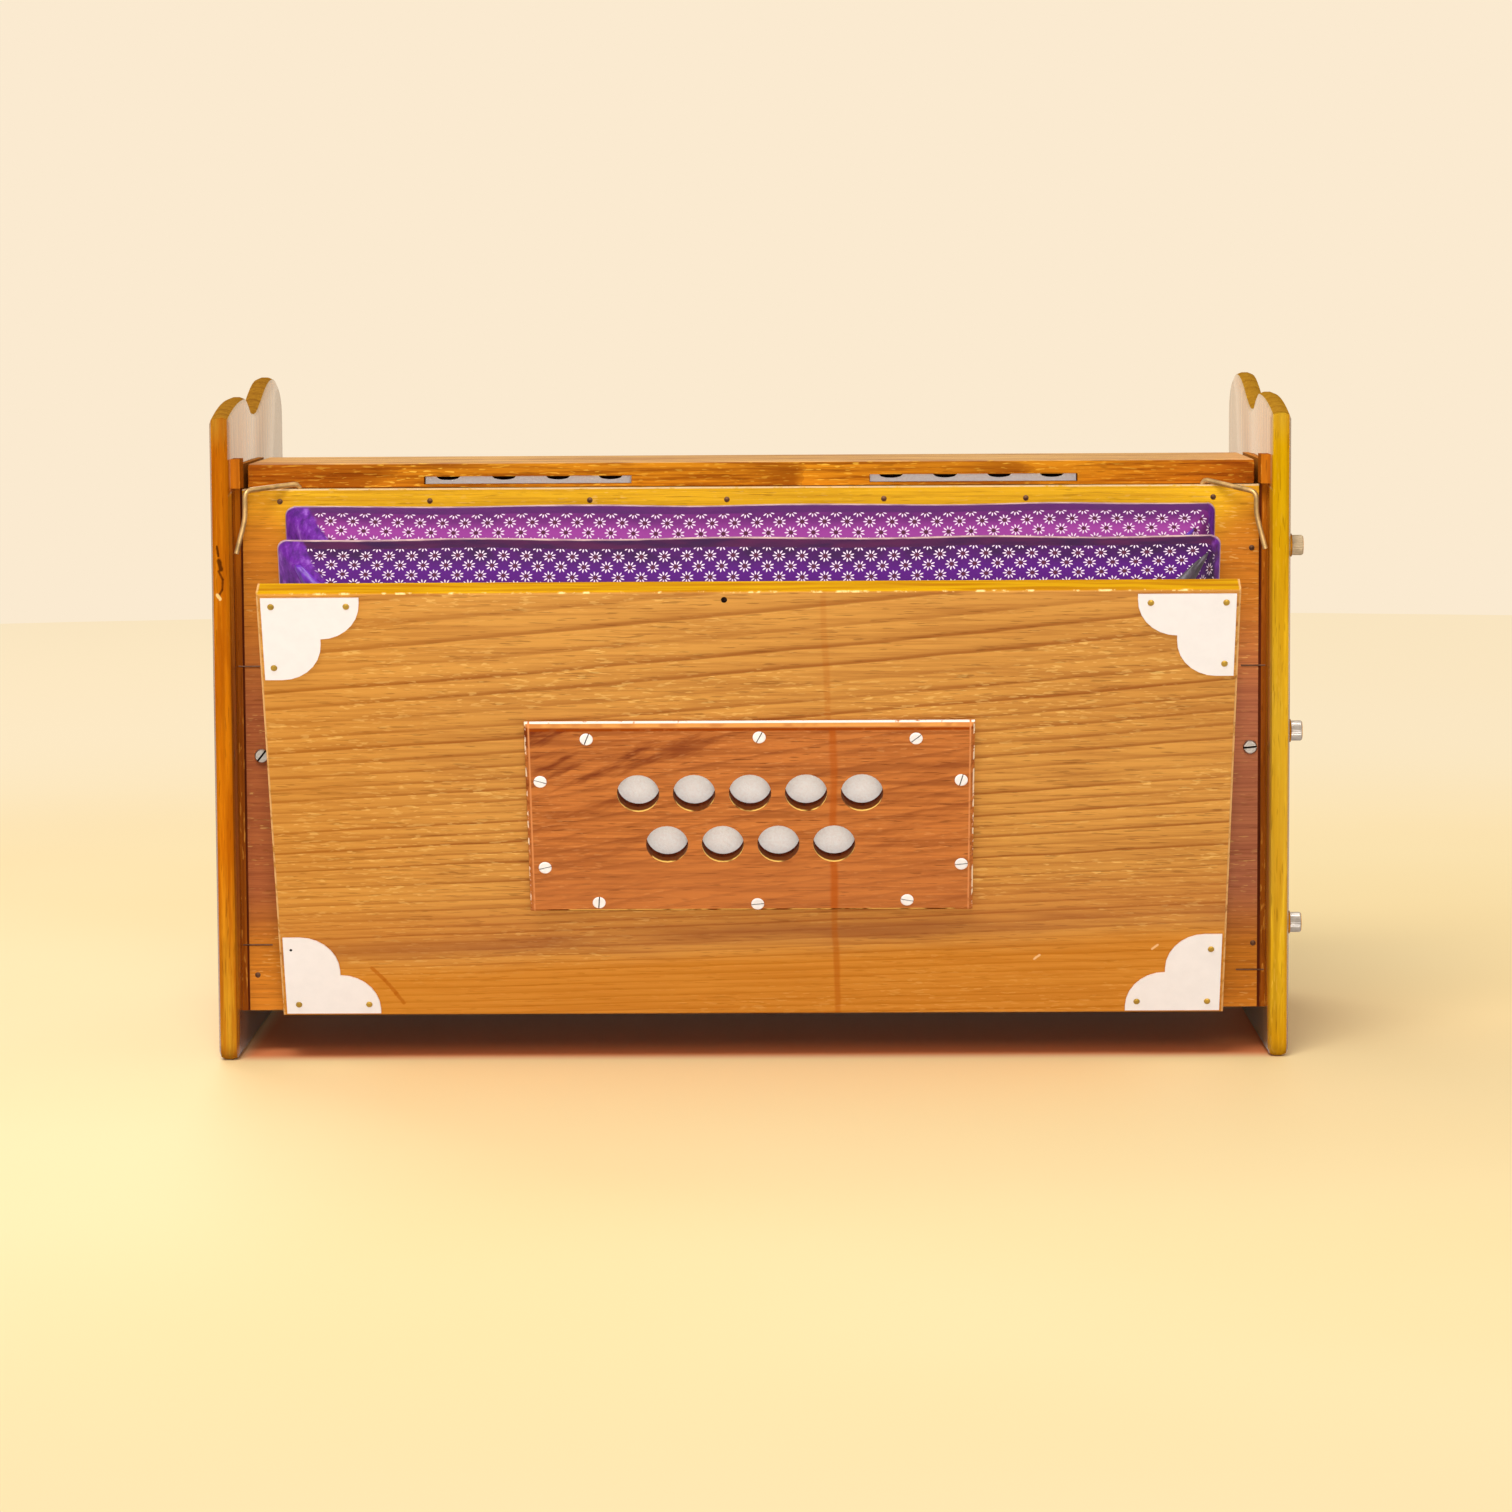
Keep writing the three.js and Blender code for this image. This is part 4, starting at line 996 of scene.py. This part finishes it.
def build_slot_strips(white, black):
    """A pale strip with scalloped openings stands inside each slot of the lid, over a dark sheet of painted
    shade deep in the slot.
    """
    lid_foot, slot_floor, lid_face = 325.4, 1.6, 33
    half, height, thick = 58.9, 4.5, 0.8
    scallop, dip, steps = 7.4, 2.4, 8
    strip_at, shade_sheet_at = lid_face + 9, lid_face + 24
    bottom = lid_foot + slot_floor
    for name, centre, cuts in (("left", -127.2, (-46, -14, 17, 47)), ("right", 127.2, (-47, -16, 15, 45))):
        outline = [(-half, 0), (half, 0), (half, height)]
        for cut in sorted(cuts, reverse=True):
            for i in range(steps + 1):
                x = scallop - 2 * scallop * i / steps
                drop = dip * (1 - (x / scallop) ** 2) ** 0.5 if abs(x) < scallop else 0
                outline.append((cut + x, height - drop))
        outline.append((-half, height))
        mesh_piece("slot_strip_" + name, "case", "white_leather", prism, [
            (facing_front(centre, strip_at, bottom), outline, -thick, 0)], white)
        plain = [(-half, 0), (half, 0), (half, height), (-half, height)]
        # painted shade: a dark sheet behind the strip
        mesh_piece("slot_shade_sheet_" + name, "case", "dark_teak", prism, [
            (facing_front(centre, shade_sheet_at, bottom), plain, -thick, 0)], black)


# Build
def build_object():
    woods = build_woods()
    steel = metal("steel", rgb(120, 84, 60), 0.45, 0.8, 0.5)
    bright = metal("bright_steel", rgb(205, 200, 196), 0.3, 1, 0.3)
    brass = metal("brass", rgb(206, 166, 70), 0.34, 0.85, 0.35)
    wire = metal("catch_wire", rgb(222, 182, 118), 0.36, 0.6, 0.45)
    screw_pale = metal("screw_pale", rgb(252, 246, 238), 0.4, 0.1, 0.12)
    plate = metal("corner_plate", rgb(245, 237, 230), 0.42, 0.2, 0.03)

    for name, timber in woods.items():
        if name in nodes:
            dress(name, timber)
    dress("base_board", woods["keyboard_surround"], bevel=0.6)

    leather = mottled("leather", rgb(248, 240, 234), rgb(255, 254, 250), 700, 4, 0.7,
                      depth=0.0005, strength=0.8, Roughness=0.95, Specular_IOR_Level=0.1)
    dress("valve_leather", leather)
    # a dark felt, also the sheet of painted shade in the lid's slots
    felt = mottled("dark_felt", rgb(18, 12, 10), rgb(44, 30, 26), 900, full=0.7,
                   Roughness=1.0, Specular_IOR_Level=0.0)

    keys = build_key_paints()
    families = {
        "corner_plate": {"material": plate},
        "catch": {"material": wire, "smooth": math.radians(60)},
        "white_key": {"material": keys["white"], "bevel": 0.5},
        "black_key": {"material": keys["black"], "bevel": 0.6},
        "stop_knob": {"material": keys["stop"], "smooth": math.radians(50)},
    }
    for name in nodes:
        for start, look in families.items():
            if name.startswith(start):
                dress(name, **look)

    fabric = {
        "inner": cloth("cloth_inner", rgb(114, 30, 112), rgb(88, 18, 96), rgb(158, 58, 148),
                       rgb(80, 22, 92), 1.16, 0.2545),
        "outer": cloth("cloth_outer", rgb(75, 3, 94), rgb(46, 2, 58), rgb(84, 5, 116),
                       rgb(78, 14, 64), 1.02, 0.2525),
    }
    violet = satin("satin", rgb(118, 26, 190), rgb(74, 12, 124))
    # the right outer gusset takes a darker grey copy of the satin: painted shade
    grey = satin("grey_satin", rgb(74, 60, 74), rgb(30, 22, 34))
    blue = satin("blue_satin", rgb(96, 30, 170), rgb(70, 14, 120))
    pleats = {name: build_pleat(name, fabric[name]) for name in FOLDS}
    gussets = {
        "inner": [build_gusset("inner", 1, blue, 0.5, 1.0, 5.0)],
        "outer": [build_gusset("outer", -1, violet, 0.42, 3.0, 9.0),
                  build_gusset("outer", 1, grey, 0.3, 0.6, 10.0)],
    }

    build_small_metal(bright, brass, steel, screw_pale, felt)
    build_studs([bright, bright, metal("dull_metal", rgb(206, 186, 152), 0.6, 0.5, 0.3)])
    build_slot_strips(leather, felt)
    build_air_sleeves(woods["joint"])
    build_battens(woods["batten"], woods["joint"])


def build_key_paints():
    made = {}
    lever = rgb(206, 164, 108)
    for name, top, face, split_at in (("white", rgb(243, 238, 224), rgb(226, 216, 192), 0.3125),
                                      ("black", rgb(24, 20, 18), rgb(40, 34, 30), 0.3135)):
        p = Paint("key_" + name)
        where = p.place()
        z = p.split(where)[2]
        grain = p.noise(p.stretch(where, 1, 0.08, 1), 420, 3)
        timber = p.ramp(grain, [(0.3, rgb(168, 120, 66)), (0.7, lever)])
        blotchy = p.noise(where, 60, 3)
        cover = p.mix(p.step(blotchy, 0.3, 0.7), face, top)
        capped = p.step(z, split_at - 0.0001, split_at + 0.0001)
        p.link(p.mix(capped, timber, cover), "Base Color")
        p.bump(grain, 0.0001, 0.2)
        p.set(Roughness=0.25, Coat_Weight=0.4, Coat_Roughness=0.1)
        made[name] = p.material
    made["stop"] = mottled("stop_knob", rgb(226, 218, 200), rgb(246, 243, 235), 90, stretch=(1, 0.3, 1),
                           full=0.7, depth=0.0001, strength=0.1, Roughness=0.18, Coat_Weight=0.5,
                           Coat_Roughness=0.08)
    return made


# Surroundings
def build_floor():
    p = Paint("floor")
    x, y, _ = p.split(p.place())
    radius = p.length(x, y)
    cloudy = p.noise(p.place(), 1.3, 2)
    near = p.mix(p.step(cloudy, 0.3, 0.7), rgb(254, 224, 162), rgb(255, 229, 172))
    far = p.mix(p.step(radius, 0.5, 2.6), near, rgb(252, 236, 206))
    # painted bounce light: the floor is painted warm and reddish where the case shades it
    under = p.mul(p.step(p.abs(x), 0.305, 0.29), p.band(y, -0.085, 0.1, 0.015))
    far = p.mix(under, far, rgb(240, 144, 88))  # warm in the shade of the case
    seen = p.node("LightPath").outputs["Is Camera Ray"]
    p.link(p.mix(seen, rgb(226, 218, 206), far), "Base Color")
    p.set(Roughness=0.6, Specular_IOR_Level=0.3)
    glow = p.node("Emission", {0: p.mix(p.step(radius, 0.8, 2.6), far, rgb(253, 232, 194))})
    away = p.mul(p.step(radius, 0.2, 1.3), 0.92)
    blend = p.node("MixShader", {0: p.mul(seen, away), 1: p.shader.outputs[0], 2: glow.outputs[0]})
    out = p.tree.nodes["Material Output"]
    p.tree.links.new(blend.outputs[0], out.inputs[0])
    made = bmesh.new()
    bmesh.ops.create_circle(made, cap_ends=True, segments=96, radius=3.63)
    mesh_object("floor", made, p.material)


def build_world():
    """A warm backdrop for the camera and for reflections, and a weaker white light."""
    world = bpy.data.worlds.new("studio")
    bpy.context.scene.world = world
    world.use_nodes = True
    world.node_tree.nodes.clear()
    sky = Tree(world.node_tree)
    seen = sky.node("Background", {0: rgb(251, 234, 208), 1: 1.0})
    light = sky.node("Background", {0: (1.0, 1.0, 1.0, 1.0), 1: 0.38})
    rays = sky.node("LightPath").outputs
    both = sky.node("Math", {0: rays["Is Camera Ray"], 1: rays["Is Glossy Ray"]}, operation="MAXIMUM")
    pick = sky.node("MixShader", {0: both.outputs[0], 1: light.outputs[0], 2: seen.outputs[0]})
    sky.node("OutputWorld", {0: pick.outputs[0]})


def build_lamps():
    for name, place, target, size, power in (
        ("front_light", (0.35, -3.35, 1.66), (0, 0, 0.15), 0.9, 17),
        ("low_light", (0.1, -3.4, 0.42), (0, 0, 0.15), 0.7, 34),
        ("high_light", (-0.5, -1.9, 2.6), (0, -0.1, 0.1), 1.2, 56),
        ("rear_light", (-1.2, 2.6, 2.0), (0, 0, 0.2), 1.8, 34),
    ):
        lamp = bpy.data.lights.new(name, "AREA")
        lamp.size = size
        lamp.energy = power
        holder = add_object(name, lamp)
        holder.location = place
        holder.visible_glossy = name != "low_light"
        holder.rotation_euler = (Vector(target) - Vector(place)).to_track_quat("-Z", "Y").to_euler()


def build_camera():
    yaw, pitch, roll = -0.0117, 0.0982, -0.0056
    image, focal = 1512, 4827.4555  # pixels
    eye = Vector((0.0302694, -2.816896, 0.441864))
    forward = Vector((math.sin(yaw) * math.cos(pitch), math.cos(yaw) * math.cos(pitch), -math.sin(pitch)))
    right = Vector((math.cos(yaw), -math.sin(yaw), 0))
    up = right.cross(forward)
    across = right * math.cos(roll) + up * math.sin(roll)
    above = up * math.cos(roll) - right * math.sin(roll)
    data = bpy.data.cameras.new("camera")
    data.sensor_width = 36
    data.lens = focal / image * data.sensor_width
    data.clip_start, data.clip_end = 0.1, 60
    camera = add_object("camera", data)
    turned = Matrix((across, above, -forward)).transposed().to_4x4()
    camera.matrix_world = Matrix.Translation(eye) @ turned
    bpy.context.scene.camera = camera


build_camera()
build_floor()
build_world()
build_lamps()
build_object()
bpy.context.scene.view_settings.view_transform = "Standard"
